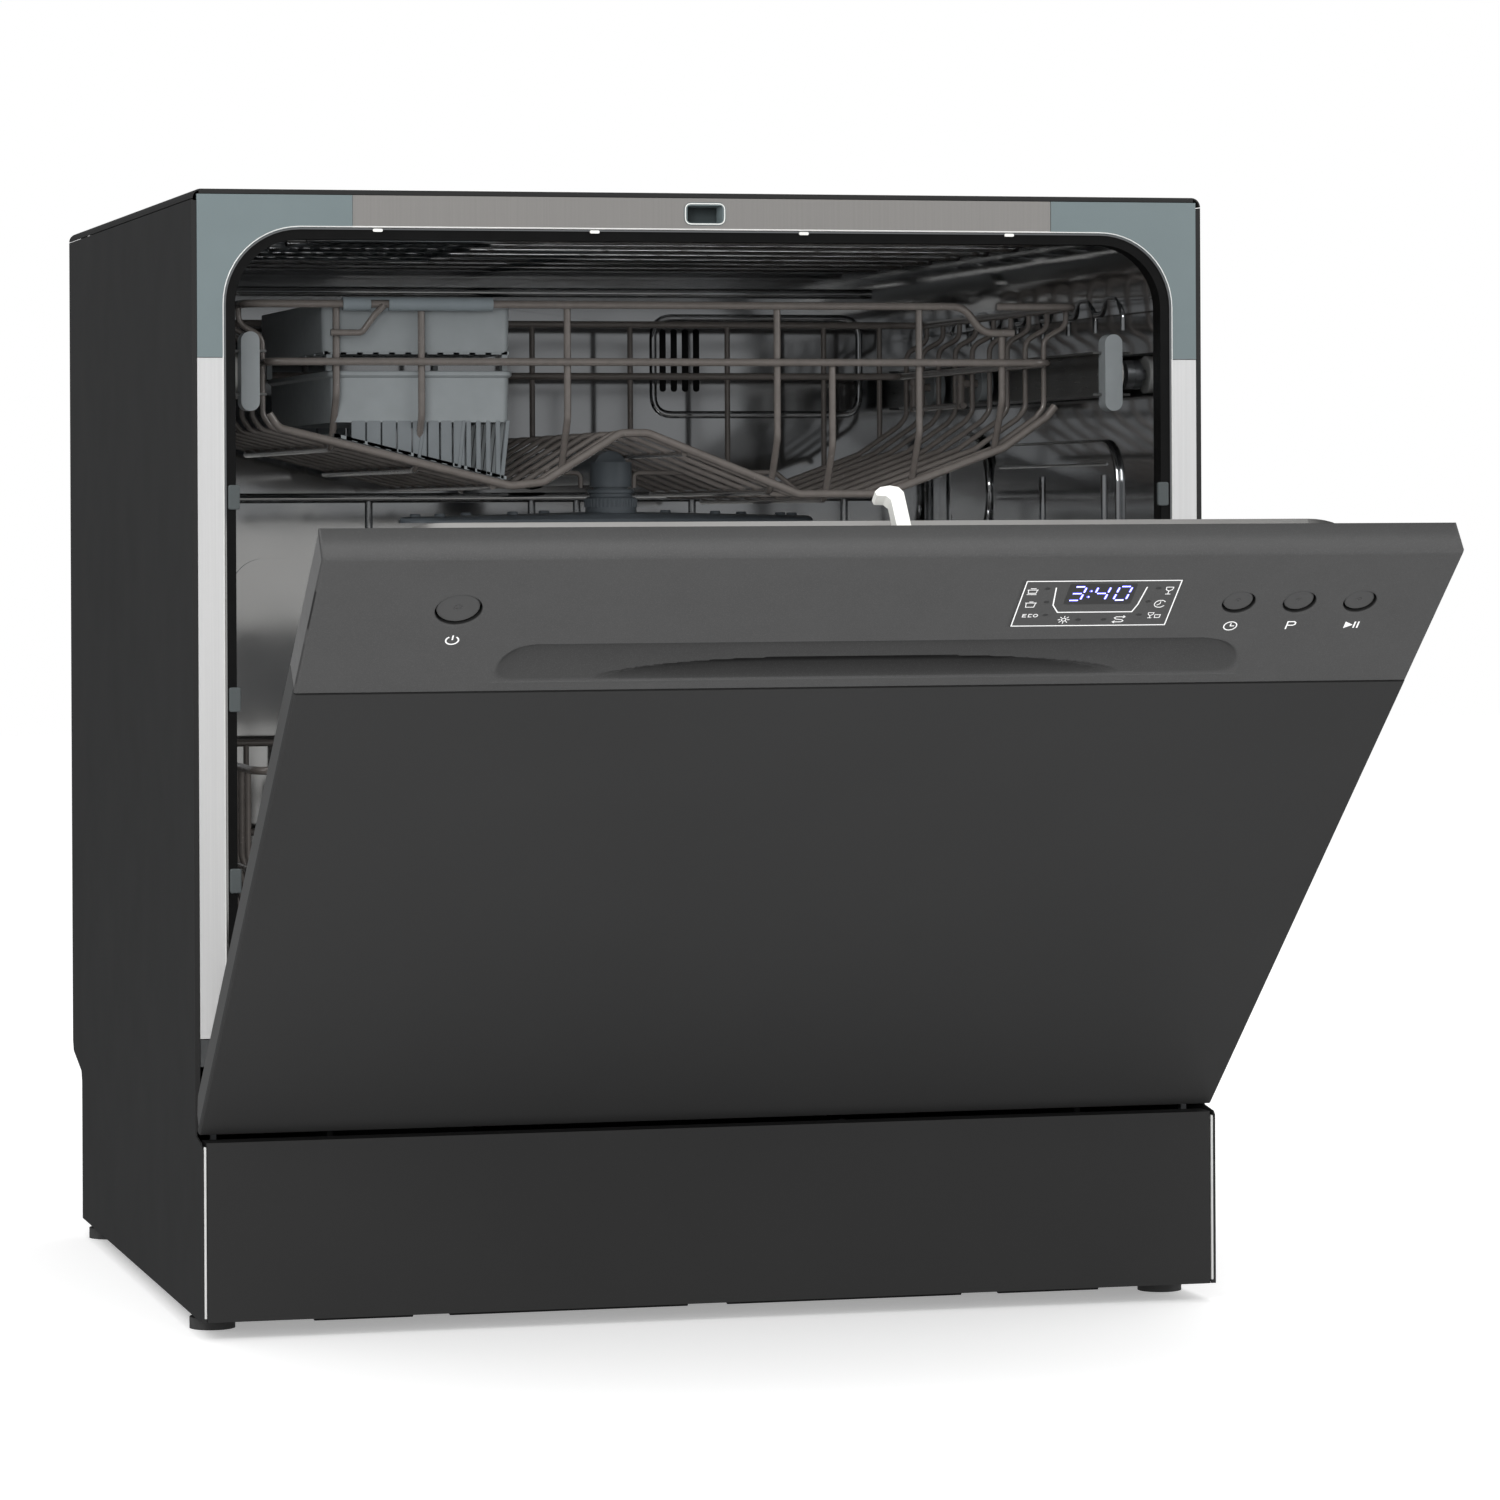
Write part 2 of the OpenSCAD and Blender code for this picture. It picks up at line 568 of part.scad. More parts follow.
module rack_wheel(y) color([0.8, 0.8, 0.8]) mirror_x() difference() {
  xc(229.4, 236.2, y, 501, 10.5);
  xc(225, 240, y, 501, 2.56);
}
module rack_wheels_front() rack_wheel(40);
module rack_wheels_rear() rack_wheel(140);

// ---------- lower rack ----------
lx = 236; ly0 = -190; ly1 = 185;
// two rows of plate tines, each standing on its own bar
module plate_tines() color(taupe) for (y = [-45, 60]) {
  xc(-168, 143, y, 193.65, thin_r+0.3);
  for (x = [-160, -125, -90, -55, 30, 65, 100, 135]) translate([x, y, 193.65]) cylinder(h = 68, r = thin_r+0.3);
}

module lower_rack() color(taupe) {
  // rims and floor frame
  for (z = [291, 238]) loop(-lx, ly0, lx, ly1, 14, z, wire_r);
  loop(-222, ly0+4, 222, ly1, 10, 190, wire_r);
  // floor wires
  for (y = [-150, -115, -80, -45, -10, 25, 60, 95, 130, 160]) xc(-222, 222, y, 190, thin_r+0.3);
  for (x = [-180, -120, -60, 0, 60, 120, 180]) yc_(ly0+4, ly1, x, 187.5, thin_r+0.3);
  // uprights
  for (x = [-200, -150, -100, -50, 0, 50, 100, 150, 200]) {
    translate([x, ly0+3.4, 189]) cylinder(h = 102, r = thin_r+0.2);
    translate([x, ly1+1, 189]) cylinder(h = 102, r = thin_r+0.2);
  }
  mirror_x() for (y = [-153, -98, -48, 2, 52, 98, 153]) xz_wire([[220, 190], [222.5, 190], [lx-1.5, 236], [lx-1.5, 291]], y, thin_r+0.2);
  // wheel struts and studs
  mirror_x() for (y = [-140, 120]) {
    yz_wire([[y-14, 190], [y-4, 154], [y+4, 154], [y+14, 190]], 223.4, thin_r+0.6);
    xc(222, 238.8, y, 153.5, 2.5);
  }
}
module lower_wheel(y) color([0.5, 0.54, 0.55]) mirror_x() difference() {
  xc(228.6, 238, y, 153.5, 12);
  xc(220, 245, y, 153.5, 2.56);
}
module lower_wheels_front() lower_wheel(-140);
module lower_wheels_rear() lower_wheel(120);

// ---------- door, drawn shut in its own frame ----------
module door_front_panel() color(dark) on_door() {
  translate([0, 0, -6]) linear_extrude(panel_s+5.6) difference() {
    rr(-hw, -8.1, hw, -1, 1.2);
    translate([-hw+1.2, -6.9]) square([cab_w-2.4, 10]);
    translate([-hw-1, -4.6]) square([cab_w+2, 10]);
  }
  bx([-257, -7, -6], [257, -4.6, -4.8]);
  bx([-hw+3, -7, panel_s-1.6], [hw-3, -4.6, panel_s-0.4]);
}

plug_y = 31;   // inner face of the raised centre, in the door's own frame
module door_inner_panel() color(steel) on_door() difference() {
  union() {
    // flat back with the raised centre
    bx([-hw+1.3, 8.9, 8], [hw-1.3, 9.9, panel_s-0.3]);
    bx([-hw+3.4, 8.9, panel_s-1], [hw-3.4, 9.9, door_h-2.8]);
    yp(9, plug_y) arch(245, 26, 451.5, 34);
    // side walls
    mirror_x() xp(hw-1.3, hw-0.3) polygon([[-4.3, -5], [3.5, -5], [9.9, 3], [9.9, panel_s-0.3], [-4.3, panel_s-0.3]]);
  }
  yp(8, plug_y-1) arch(244, 27, 450.5, 33);
  // opening for the dispenser
  bx([-93.4, plug_y-5, 226.6], [73.4, plug_y+5, 323.4]);
  // slot for the latch hook
  bx([-1.4, 8, 463.2], [6.4, 11, 470.8]);
}

// outline of the handle recess on the face, in (x, z): straight below and above, with bulging ends
rec_z0 = panel_s+8.5; rec_z1 = panel_s+37;
recess = concat([for (i = [0:12]) let (t = i/12) [157+28*pow(1-pow(t, 2.6), 0.45), rec_z0+(rec_z1-rec_z0)*t]],
                [for (i = [12:-1:0]) let (t = i/12) [-163-20.5*pow(1-pow(t, 2.6), 0.45), rec_z0+(rec_z1-rec_z0)*t]]);
// outline of the finger scoop behind the lower lip
scoop = [for (i = [0:24]) let (c = i/12-1) [-4+128*c, rec_z0+0.4+12*pow(1-pow(abs(c), 2.6), 0.62)]];
module control_panel() color([0.30, 0.30, 0.30]) on_door() difference() {
  union() {
    translate([0, 0, panel_s+0.2]) linear_extrude(door_h-panel_s-0.2) difference() {
      rr(-hw, -8.1, hw, -1, 1.5);
      translate([-hw-1, -5.6]) square([cab_w+2, 10]);
    }
    bx([-hw, -6, door_h-2.5], [hw, 9.9, door_h]);
    bx([-hw+4, -6, panel_s+0.2], [hw-4, -2, panel_s+1.8]);
    bx([-190, -5.8, rec_z0-3], [192, 2.2, rec_z1+2.4]);
    bx([-136, -5.8, rec_z0-2.6], [128, 6.4, rec_z0+15]);
  }
  // recess: its floor falls away from the lower lip towards the top
  intersection() {
    xp(-187, 188) polygon([[-9, rec_z0], [-8.1, rec_z0], [0.2, rec_z1], [-9, rec_z1]]);
    yp(-11, 12) polygon(recess);
  }
  intersection() {
    xp(-133, 125) polygon([[-8.2, rec_z0+0.2], [2.2, rec_z0+1], [4.2, rec_z0+3], [3.4, rec_z0+7], [0, rec_z0+10.5], [-5, rec_z0+13]]);
    yp(-11, 12) polygon(scoop);
  }
  // holes for the buttons and the display
  yc_(-12, 0, -206.5, 435.8, power_r+0.4);
  for (x = [172, 202.6, 233.2]) yc_(-12, 0, x, 436.2, button_r+0.4);
  bx([61.8, -9, 419.4], [139.2, -6.5, 455.2]);
  bx([70, -9, 424], [131, 0, 452]);
}

module console_housing() color([0.55, 0.56, 0.56]) on_door() difference() {
  union() {
    mirror_x() bx([hw-3, -5.4, panel_s+0.4], [hw-0.3, 9.9, door_h-2.7]);
    bx([-hw+2.9, 4, 418], [hw-2.9, 5.4, 470]);
  }
}

module display_window() color([0.05, 0.05, 0.06]) on_door() bx([62, -8.1, 419.6], [139, -6.6, 455]);

module control_board() color([0.1, 0.35, 0.15]) on_door() {
  bx([45, 0, 421], [250, 1.6, 468]);
  bx([74, -4.8, 426], [128, 0.1, 450]);
  bx([-225, 0, 421], [-188, 1.6, 452]);
}

module push_button(x, z, r) difference() {
  union() {
    yc_(-7.7, -4.8, x, z, r);
    yc_(-5.3, -4.3, x, z, r+1.4);
    yc_(-4.5, -2.4, x, z, 2.5);
  }
  // dished face
  translate([x, -7.7-r*1.45, z]) sphere(r*1.6, $fn = 48);
}
module power_button() color([0.27, 0.27, 0.27]) on_door() push_button(-206.5, 435.8, power_r);
module delay_button() color([0.27, 0.27, 0.27]) on_door() push_button(172, 436.2, button_r);
module program_button() color([0.27, 0.27, 0.27]) on_door() push_button(202.6, 436.2, button_r);
module start_button() color([0.27, 0.27, 0.27]) on_door() push_button(233.2, 436.2, button_r);

// claw that reaches into the slot above the opening
module latch_hook() color([0.82, 0.82, 0.8]) on_door() {
  translate([0, 0, 463.5]) linear_extrude(7) polygon([[-1, 8.7], [6, 8.7], [6, 33], [4, 36], [0, 37], [-5, 36], [-8, 33.4], [-7.4, 31], [-3, 30.8], [-1, 28.5]]);
  bx([-14, 6.9, 455], [16, 8.8, 471]);
}

module dispenser_body() color([0.2, 0.2, 0.21]) on_door() translate([0, plug_y-25, 0]) {
  // pin that the lid turns on
  xc(-88.5, 8.5, 26, 316.6, 1.13);
  difference() {
  union() {
    bx([-93.2, 13, 226.8], [73.2, 25.2, 323.2]);
    bx([-97, 25.1, 223], [77, 26.3, 327]);
  }
  bx([-84, 15, 237], [4, 30, 311]);
  bx([-87, 22.8, 234], [7, 30, 321.5]);
  yc_(16.5, 30, 42, 275, 15.9);
  }
}
module dispenser_lid() color([0.33, 0.34, 0.35]) on_door() translate([0, plug_y-25, 0]) difference() {
  union() {
    bx([-85, 23.9, 236.5], [5, 26.2, 315]);
    xc(-85, 5, 26, 316.6, 2.3);
    bx([-50, 26, 238], [-30, 28, 244]);
  }
  xc(-90, 10, 26, 316.6, 1.2);
}
module rinse_cap() color([0.28, 0.29, 0.3]) on_door() translate([0, plug_y-25, 0]) {
  yc_(26.6, 29.5, 42, 275, 19);
  yc_(18.5, 26.7, 42, 275, 15.4);
  bx([40.5, 29.3, 259], [43.5, 34, 291]);
}

// arms on the door that turn on the hinge pins
module hinge_arms() color([0.5, 0.5, 0.5]) on_door() mirror_x() difference() {
  xp(268, 271) union() {
    circle(5.7);
    polygon([[-4.2, 0], [-5.4, 8], [-5.4, 70], [8.7, 70], [8.7, 14], [5.4, 1]]);
  }
  xc(266, 273, 0, 0, 4.06);
}

side_panels();
top_panel();
back_panel();
base_tray();
leveling_feet();
kick_plate();
frame_strips();
corner_caps();
tub_shell();
tub_back();
tub_floor();
door_gasket();
latch_bezel();
hinge_brackets();
sump();
filter_plate();
softener_tank();
heater_pump();
drain_pump();
inlet_valve();
drain_spigot();
cord_gland();
feed_pipe();
roller_axles();
panel_screws();
latch_catch();
filter_cup();
salt_cap();
lower_spray_arm();
tub_rollers_front();
tub_rollers_rear();
rack_rails();
rail_caps();
upper_rack();
rack_sleeve();
cutlery_basket();
cutlery_top();
upper_feed_duct();
upper_spray_arm();
rack_wheels_front();
rack_wheels_rear();
lower_rack();
plate_tines();
lower_wheels_front();
lower_wheels_rear();
door_front_panel();
door_inner_panel();
control_panel();
console_housing();
display_window();
control_board();
latch_hook();
dispenser_body();
dispenser_lid();
rinse_cap();
hinge_arms();
power_button();
delay_button();
program_button();
start_button();
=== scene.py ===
import bpy
import bmesh
import math
from mathutils import Matrix, Vector


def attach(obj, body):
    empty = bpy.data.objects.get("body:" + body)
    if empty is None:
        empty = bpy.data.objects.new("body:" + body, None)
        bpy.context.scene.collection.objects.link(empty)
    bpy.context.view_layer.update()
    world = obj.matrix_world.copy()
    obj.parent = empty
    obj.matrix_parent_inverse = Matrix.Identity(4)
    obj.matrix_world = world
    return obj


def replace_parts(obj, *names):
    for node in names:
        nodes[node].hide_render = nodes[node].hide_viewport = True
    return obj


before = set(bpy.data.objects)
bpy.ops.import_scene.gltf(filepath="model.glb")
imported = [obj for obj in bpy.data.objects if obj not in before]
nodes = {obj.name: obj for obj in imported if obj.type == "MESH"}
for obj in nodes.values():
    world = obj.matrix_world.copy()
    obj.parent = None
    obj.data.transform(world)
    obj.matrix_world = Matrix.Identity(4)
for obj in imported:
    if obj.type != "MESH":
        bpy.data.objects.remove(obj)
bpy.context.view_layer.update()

MM = 0.001
REST = math.radians(51.5)
HY, HZ = -241.9, 116.2
DOOR = Matrix.Translation((0, HY * MM, HZ * MM)) @ Matrix.Rotation(REST, 4, "X")


# ------------------------------------------------------------------ materials
def lin(c):
    def f(v):
        v = v / 255.0
        return v / 12.92 if v <= 0.04045 else ((v + 0.055) / 1.055) ** 2.4
    if isinstance(c, (int, float)):
        c = (c, c, c)
    return (f(c[0]), f(c[1]), f(c[2]), 1.0)


def material(name, color, rough=0.45, metal=0.0, var=0.06, var_scale=60.0, rough_var=0.08,
             grain=900.0, bump=0.0, stretch=(1, 1, 1), speckle=0.0, coat=0.0, spec=0.5,
             edge_lighten=0.0, aniso=0.0, trans=0.0, ior=1.45, wave=None):
    """A node material: tone variation, roughness variation and fine bump, all from object coordinates."""
    m = bpy.data.materials.new(name)
    m.use_nodes = True
    nt = m.node_tree
    nt.nodes.clear()
    out = nt.nodes.new("ShaderNodeOutputMaterial")
    p = nt.nodes.new("ShaderNodeBsdfPrincipled")
    nt.links.new(p.outputs["BSDF"], out.inputs["Surface"])
    base = lin(color)
    p.inputs["Metallic"].default_value = metal
    p.inputs["Roughness"].default_value = rough
    p.inputs["IOR"].default_value = ior
    p.inputs["Specular IOR Level"].default_value = spec
    if coat:
        p.inputs["Coat Weight"].default_value = coat
        p.inputs["Coat Roughness"].default_value = 0.12
    if aniso:
        p.inputs["Anisotropic"].default_value = aniso
    if trans:
        p.inputs["Transmission Weight"].default_value = trans
    tc = nt.nodes.new("ShaderNodeTexCoord")
    mp = nt.nodes.new("ShaderNodeMapping")
    mp.inputs["Scale"].default_value = stretch
    nt.links.new(tc.outputs["Object"], mp.inputs["Vector"])
    # tone
    n1 = nt.nodes.new("ShaderNodeTexNoise")
    n1.inputs["Scale"].default_value = var_scale
    n1.inputs["Detail"].default_value = 4.0
    nt.links.new(mp.outputs["Vector"], n1.inputs["Vector"])
    ramp = nt.nodes.new("ShaderNodeValToRGB")
    ramp.color_ramp.elements[0].position = 0.3
    ramp.color_ramp.elements[1].position = 0.7
    lo = [max(0.0, v * (1 - var)) for v in base[:3]] + [1]
    hi = [min(1.0, v * (1 + var)) for v in base[:3]] + [1]
    ramp.color_ramp.elements[0].color = lo
    ramp.color_ramp.elements[1].color = hi
    nt.links.new(n1.outputs["Fac"], ramp.inputs["Fac"])
    color_out = ramp.outputs["Color"]
    if speckle:
        n3 = nt.nodes.new("ShaderNodeTexNoise")
        n3.inputs["Scale"].default_value = 2400.0
        n3.inputs["Detail"].default_value = 1.0
        nt.links.new(tc.outputs["Object"], n3.inputs["Vector"])
        r3 = nt.nodes.new("ShaderNodeValToRGB")
        r3.color_ramp.elements[0].position = 0.52
        r3.color_ramp.elements[1].position = 0.66
        r3.color_ramp.elements[0].color = (0, 0, 0, 1)
        r3.color_ramp.elements[1].color = (1, 1, 1, 1)
        nt.links.new(n3.outputs["Fac"], r3.inputs["Fac"])
        mx = nt.nodes.new("ShaderNodeMix")
        mx.data_type = "RGBA"
        mx.inputs["B"].default_value = [min(1, v * (1 + speckle)) for v in base[:3]] + [1]
        nt.links.new(r3.outputs["Color"], mx.inputs["Factor"])
        nt.links.new(color_out, mx.inputs["A"])
        color_out = mx.outputs["Result"]
    # convex edges (high pointiness) made lighter by this factor
    if edge_lighten:
        ao = nt.nodes.new("ShaderNodeNewGeometry")
        r4 = nt.nodes.new("ShaderNodeValToRGB")
        r4.color_ramp.elements[0].position = 0.46
        r4.color_ramp.elements[1].position = 0.54
        r4.color_ramp.elements[0].color = (0, 0, 0, 1)
        r4.color_ramp.elements[1].color = (1, 1, 1, 1)
        nt.links.new(ao.outputs["Pointiness"], r4.inputs["Fac"])
        mx = nt.nodes.new("ShaderNodeMix")
        mx.data_type = "RGBA"
        mx.inputs["B"].default_value = [min(1, v * (1 + edge_lighten)) for v in base[:3]] + [1]
        nt.links.new(r4.outputs["Color"], mx.inputs["Factor"])
        nt.links.new(color_out, mx.inputs["A"])
        color_out = mx.outputs["Result"]
    nt.links.new(color_out, p.inputs["Base Color"])
    # roughness
    mr = nt.nodes.new("ShaderNodeMapRange")
    mr.inputs["To Min"].default_value = max(0.02, rough - rough_var)
    mr.inputs["To Max"].default_value = min(1.0, rough + rough_var)
    n2 = nt.nodes.new("ShaderNodeTexNoise")
    n2.inputs["Scale"].default_value = var_scale * 3.1
    n2.inputs["Detail"].default_value = 3.0
    nt.links.new(mp.outputs["Vector"], n2.inputs["Vector"])
    nt.links.new(n2.outputs["Fac"], mr.inputs["Value"])
    nt.links.new(mr.outputs["Result"], p.inputs["Roughness"])
    if bump:
        n4 = nt.nodes.new("ShaderNodeTexNoise")
        n4.inputs["Scale"].default_value = grain
        n4.inputs["Detail"].default_value = 2.0
        nt.links.new(mp.outputs["Vector"], n4.inputs["Vector"])
        bp = nt.nodes.new("ShaderNodeBump")
        bp.inputs["Strength"].default_value = bump
        bp.inputs["Distance"].default_value = 0.0002
        nt.links.new(n4.outputs["Fac"], bp.inputs["Height"])
        nt.links.new(bp.outputs["Normal"], p.inputs["Normal"])
    return m


def glow(name, color, strength):
    m = bpy.data.materials.new(name)
    m.use_nodes = True
    nt = m.node_tree
    p = nt.nodes["Principled BSDF"]
    p.inputs["Base Color"].default_value = color
    p.inputs["Emission Color"].default_value = color
    p.inputs["Emission Strength"].default_value = strength
    p.inputs["Roughness"].default_value = 0.4
    tc = nt.nodes.new("ShaderNodeTexCoord")
    n = nt.nodes.new("ShaderNodeTexNoise")
    n.inputs["Scale"].default_value = 900.0
    r = nt.nodes.new("ShaderNodeValToRGB")
    r.color_ramp.elements[0].color = [v * 0.85 for v in color[:3]] + [1]
    r.color_ramp.elements[1].color = color
    nt.links.new(tc.outputs["Object"], n.inputs["Vector"])
    nt.links.new(n.outputs["Fac"], r.inputs["Fac"])
    nt.links.new(r.outputs["Color"], p.inputs["Emission Color"])
    return m


def by_height(m, z, color):
    """Another tone above height z of the object, for one node whose parts differ."""
    nt = m.node_tree
    p = [n for n in nt.nodes if n.type == "BSDF_PRINCIPLED"][0]
    src = p.inputs["Base Color"].links[0].from_socket
    tc = nt.nodes.new("ShaderNodeTexCoord")
    sp = nt.nodes.new("ShaderNodeSeparateXYZ")
    gt = nt.nodes.new("ShaderNodeMath")
    gt.operation = "GREATER_THAN"
    gt.inputs[1].default_value = z
    mx = nt.nodes.new("ShaderNodeMix")
    mx.data_type = "RGBA"
    mx.blend_type = "MULTIPLY"
    mx.inputs["B"].default_value = color
    nt.links.new(tc.outputs["Object"], sp.inputs["Vector"])
    nt.links.new(sp.outputs["Z"], gt.inputs[0])
    nt.links.new(gt.outputs["Value"], mx.inputs["Factor"])
    nt.links.new(src, mx.inputs["A"])
    nt.links.new(mx.outputs["Result"], p.inputs["Base Color"])
    return m


M = {
    "side_paint": material("dark_paint_side", 43, rough=0.55, spec=0.12, var=0.03, var_scale=8, grain=1400, bump=0.05, rough_var=0.04),
    "door_paint": material("dark_paint_door", 48, rough=0.45, spec=0.22, var=0.03, var_scale=6, grain=1400, bump=0.04, rough_var=0.03),
    "console": material("console_plastic", 67, rough=0.5, spec=0.3, var=0.03, var_scale=40, grain=2600, bump=0.22, speckle=0.3, rough_var=0.05),
    "button": material("button_plastic", 68, rough=0.3, spec=0.6, var=0.02, var_scale=120, grain=2600, bump=0.03, rough_var=0.05),
    "steel": material("tub_stainless", (209, 210, 211), rough=0.09, metal=1.0, var=0.03, var_scale=12, rough_var=0.03, grain=20, bump=0.3, spec=0.5),
    "strip": by_height(material("flange_stainless", (220, 220, 220), rough=0.42, metal=0.45, var=0.035, var_scale=700, rough_var=0.06, grain=1500, bump=0.15, stretch=(1, 1, 0.012)), 0.53, (0.40, 0.387, 0.373, 1)),
    "rail": material("rail_steel", (150, 150, 148), rough=0.3, metal=1.0, var=0.05, var_scale=500, rough_var=0.08, grain=900, bump=0.1, stretch=(1, 0.03, 1)),
    "bracket": material("zinc_steel", (128, 130, 132), rough=0.4, metal=0.9, var=0.12, var_scale=120, rough_var=0.1, grain=400, bump=0.12),
    "screw": material("screw_steel", (150, 150, 150), rough=0.3, metal=1.0, var=0.08, var_scale=300, rough_var=0.1, grain=900, bump=0.1),
    "lip": material("flange_lip_steel", (226, 226, 224), rough=0.3, metal=0.4, var=0.03, var_scale=300, rough_var=0.05, grain=900, bump=0.05),
    "black": material("tray_plastic", 26, rough=0.6, spec=0.25, var=0.1, var_scale=60, grain=700, bump=0.25),
    "foot": material("foot_plastic", 60, rough=0.6, spec=0.3, var=0.1, var_scale=200, grain=900, bump=0.25),
    "rubber": material("gasket_rubber", 10, rough=0.6, spec=0.25, var=0.2, var_scale=120, grain=700, bump=0.2, rough_var=0.1),
    "cap": material("corner_plastic", (104, 115, 117), rough=0.5, spec=0.3, var=0.02, var_scale=50, grain=1800, bump=0.12),
    "grey": material("basket_plastic", (126, 131, 133), rough=0.42, spec=0.35, var=0.04, var_scale=80, grain=1500, bump=0.12),
    "grey_dark": material("arm_plastic", (112, 120, 124), rough=0.35, spec=0.35, var=0.05, var_scale=80, grain=1500, bump=0.12),
    # painted shade: a darker copy of the basket plastic for the comb, which lies in shadow low in the basket
    "comb": material("basket_plastic_shaded", (106, 111, 114), rough=0.4, spec=0.4, var=0.05, var_scale=80, grain=1500, bump=0.1),
    "clip": material("clip_plastic", (74, 79, 80), rough=0.35, spec=0.4, var=0.05, var_scale=80, grain=1500, bump=0.1),
    "arm": material("spray_arm_plastic", (84, 90, 95), rough=0.32, spec=0.4, var=0.05, var_scale=80, grain=1500, bump=0.1),
    "housing": material("door_side_plastic", (97, 97, 97), rough=0.5, spec=0.3, var=0.03, var_scale=60, grain=1600, bump=0.15),
    "inner": material("door_inner_stainless", (132, 131, 129), rough=0.36, metal=1.0, var=0.03, var_scale=10, rough_var=0.05, grain=30, bump=0.10),
    "light": material("light_plastic", (222, 222, 218), rough=0.42, spec=0.4, var=0.03, var_scale=80, grain=1400, bump=0.12),
    "rack": material("rack_coating", (112, 106, 102), rough=0.24, metal=0.25, spec=0.9, coat=0.7, var=0.08, var_scale=200, grain=600, bump=0.2, rough_var=0.08),
    "pump": material("pump_plastic", 60, rough=0.5, var=0.08, var_scale=80, grain=900, bump=0.25),
    "green": material("pump_green", (66, 112, 88), rough=0.5, var=0.08, var_scale=80, grain=900, bump=0.2),
    "dark": material("dark_plastic", 50, rough=0.42, var=0.08, var_scale=100, grain=1100, bump=0.2),
    "board": material("circuit_board", (30, 90, 48), rough=0.4, var=0.25, var_scale=300, grain=1500, bump=0.3),
    "film": material("display_film", 69, rough=0.45, spec=0.3, var=0.03, var_scale=40, grain=2600, bump=0.12, speckle=0.2, rough_var=0.05),
    "pane": material("display_pane", 52, rough=0.3, spec=0.4, var=0.05, var_scale=40, rough_var=0.03, grain=900, bump=0.02),
    "print": material("white_print", 232, rough=0.5, var=0.02, var_scale=900, grain=1500, bump=0.05),
    "led_off": material("led_off", 50, rough=0.4, var=0.06, var_scale=600, grain=900, bump=0.1),
    "digit": glow("digit_blue", (0.10, 0.10, 0.95, 1.0), 1.6),
    "digit_core": glow("digit_core", (0.75, 0.78, 1.0, 1.0), 1.6),
    "floor": material("studio_floor", 255, rough=0.8, spec=0.0, var=0.0, var_scale=3, grain=60, bump=0.0),
}

LOOK = {
    "side_panels": "side_paint", "top_panel": "side_paint", "back_panel": "side_paint",
    "kick_plate": "side_paint", "base_tray": "black", "leveling_feet": "foot", "frame_strips": "strip", "corner_caps": "cap",
    "tub_shell": "steel", "tub_back": "steel", "tub_floor": "steel", "door_gasket": "rubber", "latch_bezel": "cap",
    "hinge_brackets": "bracket", "sump": "black", "filter_plate": "strip", "softener_tank": "black", "heater_pump": "pump",
    "drain_pump": "green", "inlet_valve": "light", "drain_spigot": "black", "cord_gland": "black", "feed_pipe": "black",
    "roller_axles": "bracket", "panel_screws": "screw", "latch_catch": "bracket", "filter_cup": "dark", "salt_cap": "dark",
    "lower_spray_arm": "grey_dark", "tub_rollers_front": "light", "tub_rollers_rear": "light", "rack_rails": "rail",
    "rail_caps": "grey", "upper_rack": "rack", "rack_sleeve": "grey_dark", "cutlery_basket": "grey", "cutlery_top": "grey",
    "upper_feed_duct": "arm", "upper_spray_arm": "arm", "rack_wheels_front": "grey", "rack_wheels_rear": "grey",
    "lower_rack": "rack", "plate_tines": "rack", "lower_wheels_front": "grey", "lower_wheels_rear": "grey", "door_front_panel": "door_paint",
    "door_inner_panel": "inner", "control_panel": "console", "console_housing": "housing", "display_window": "film",
    "control_board": "board", "latch_hook": "light", "dispenser_body": "dark", "dispenser_lid": "pump", "rinse_cap": "dark",
    "hinge_arms": "bracket", "power_button": "button", "delay_button": "button", "program_button": "button", "start_button": "button",
}


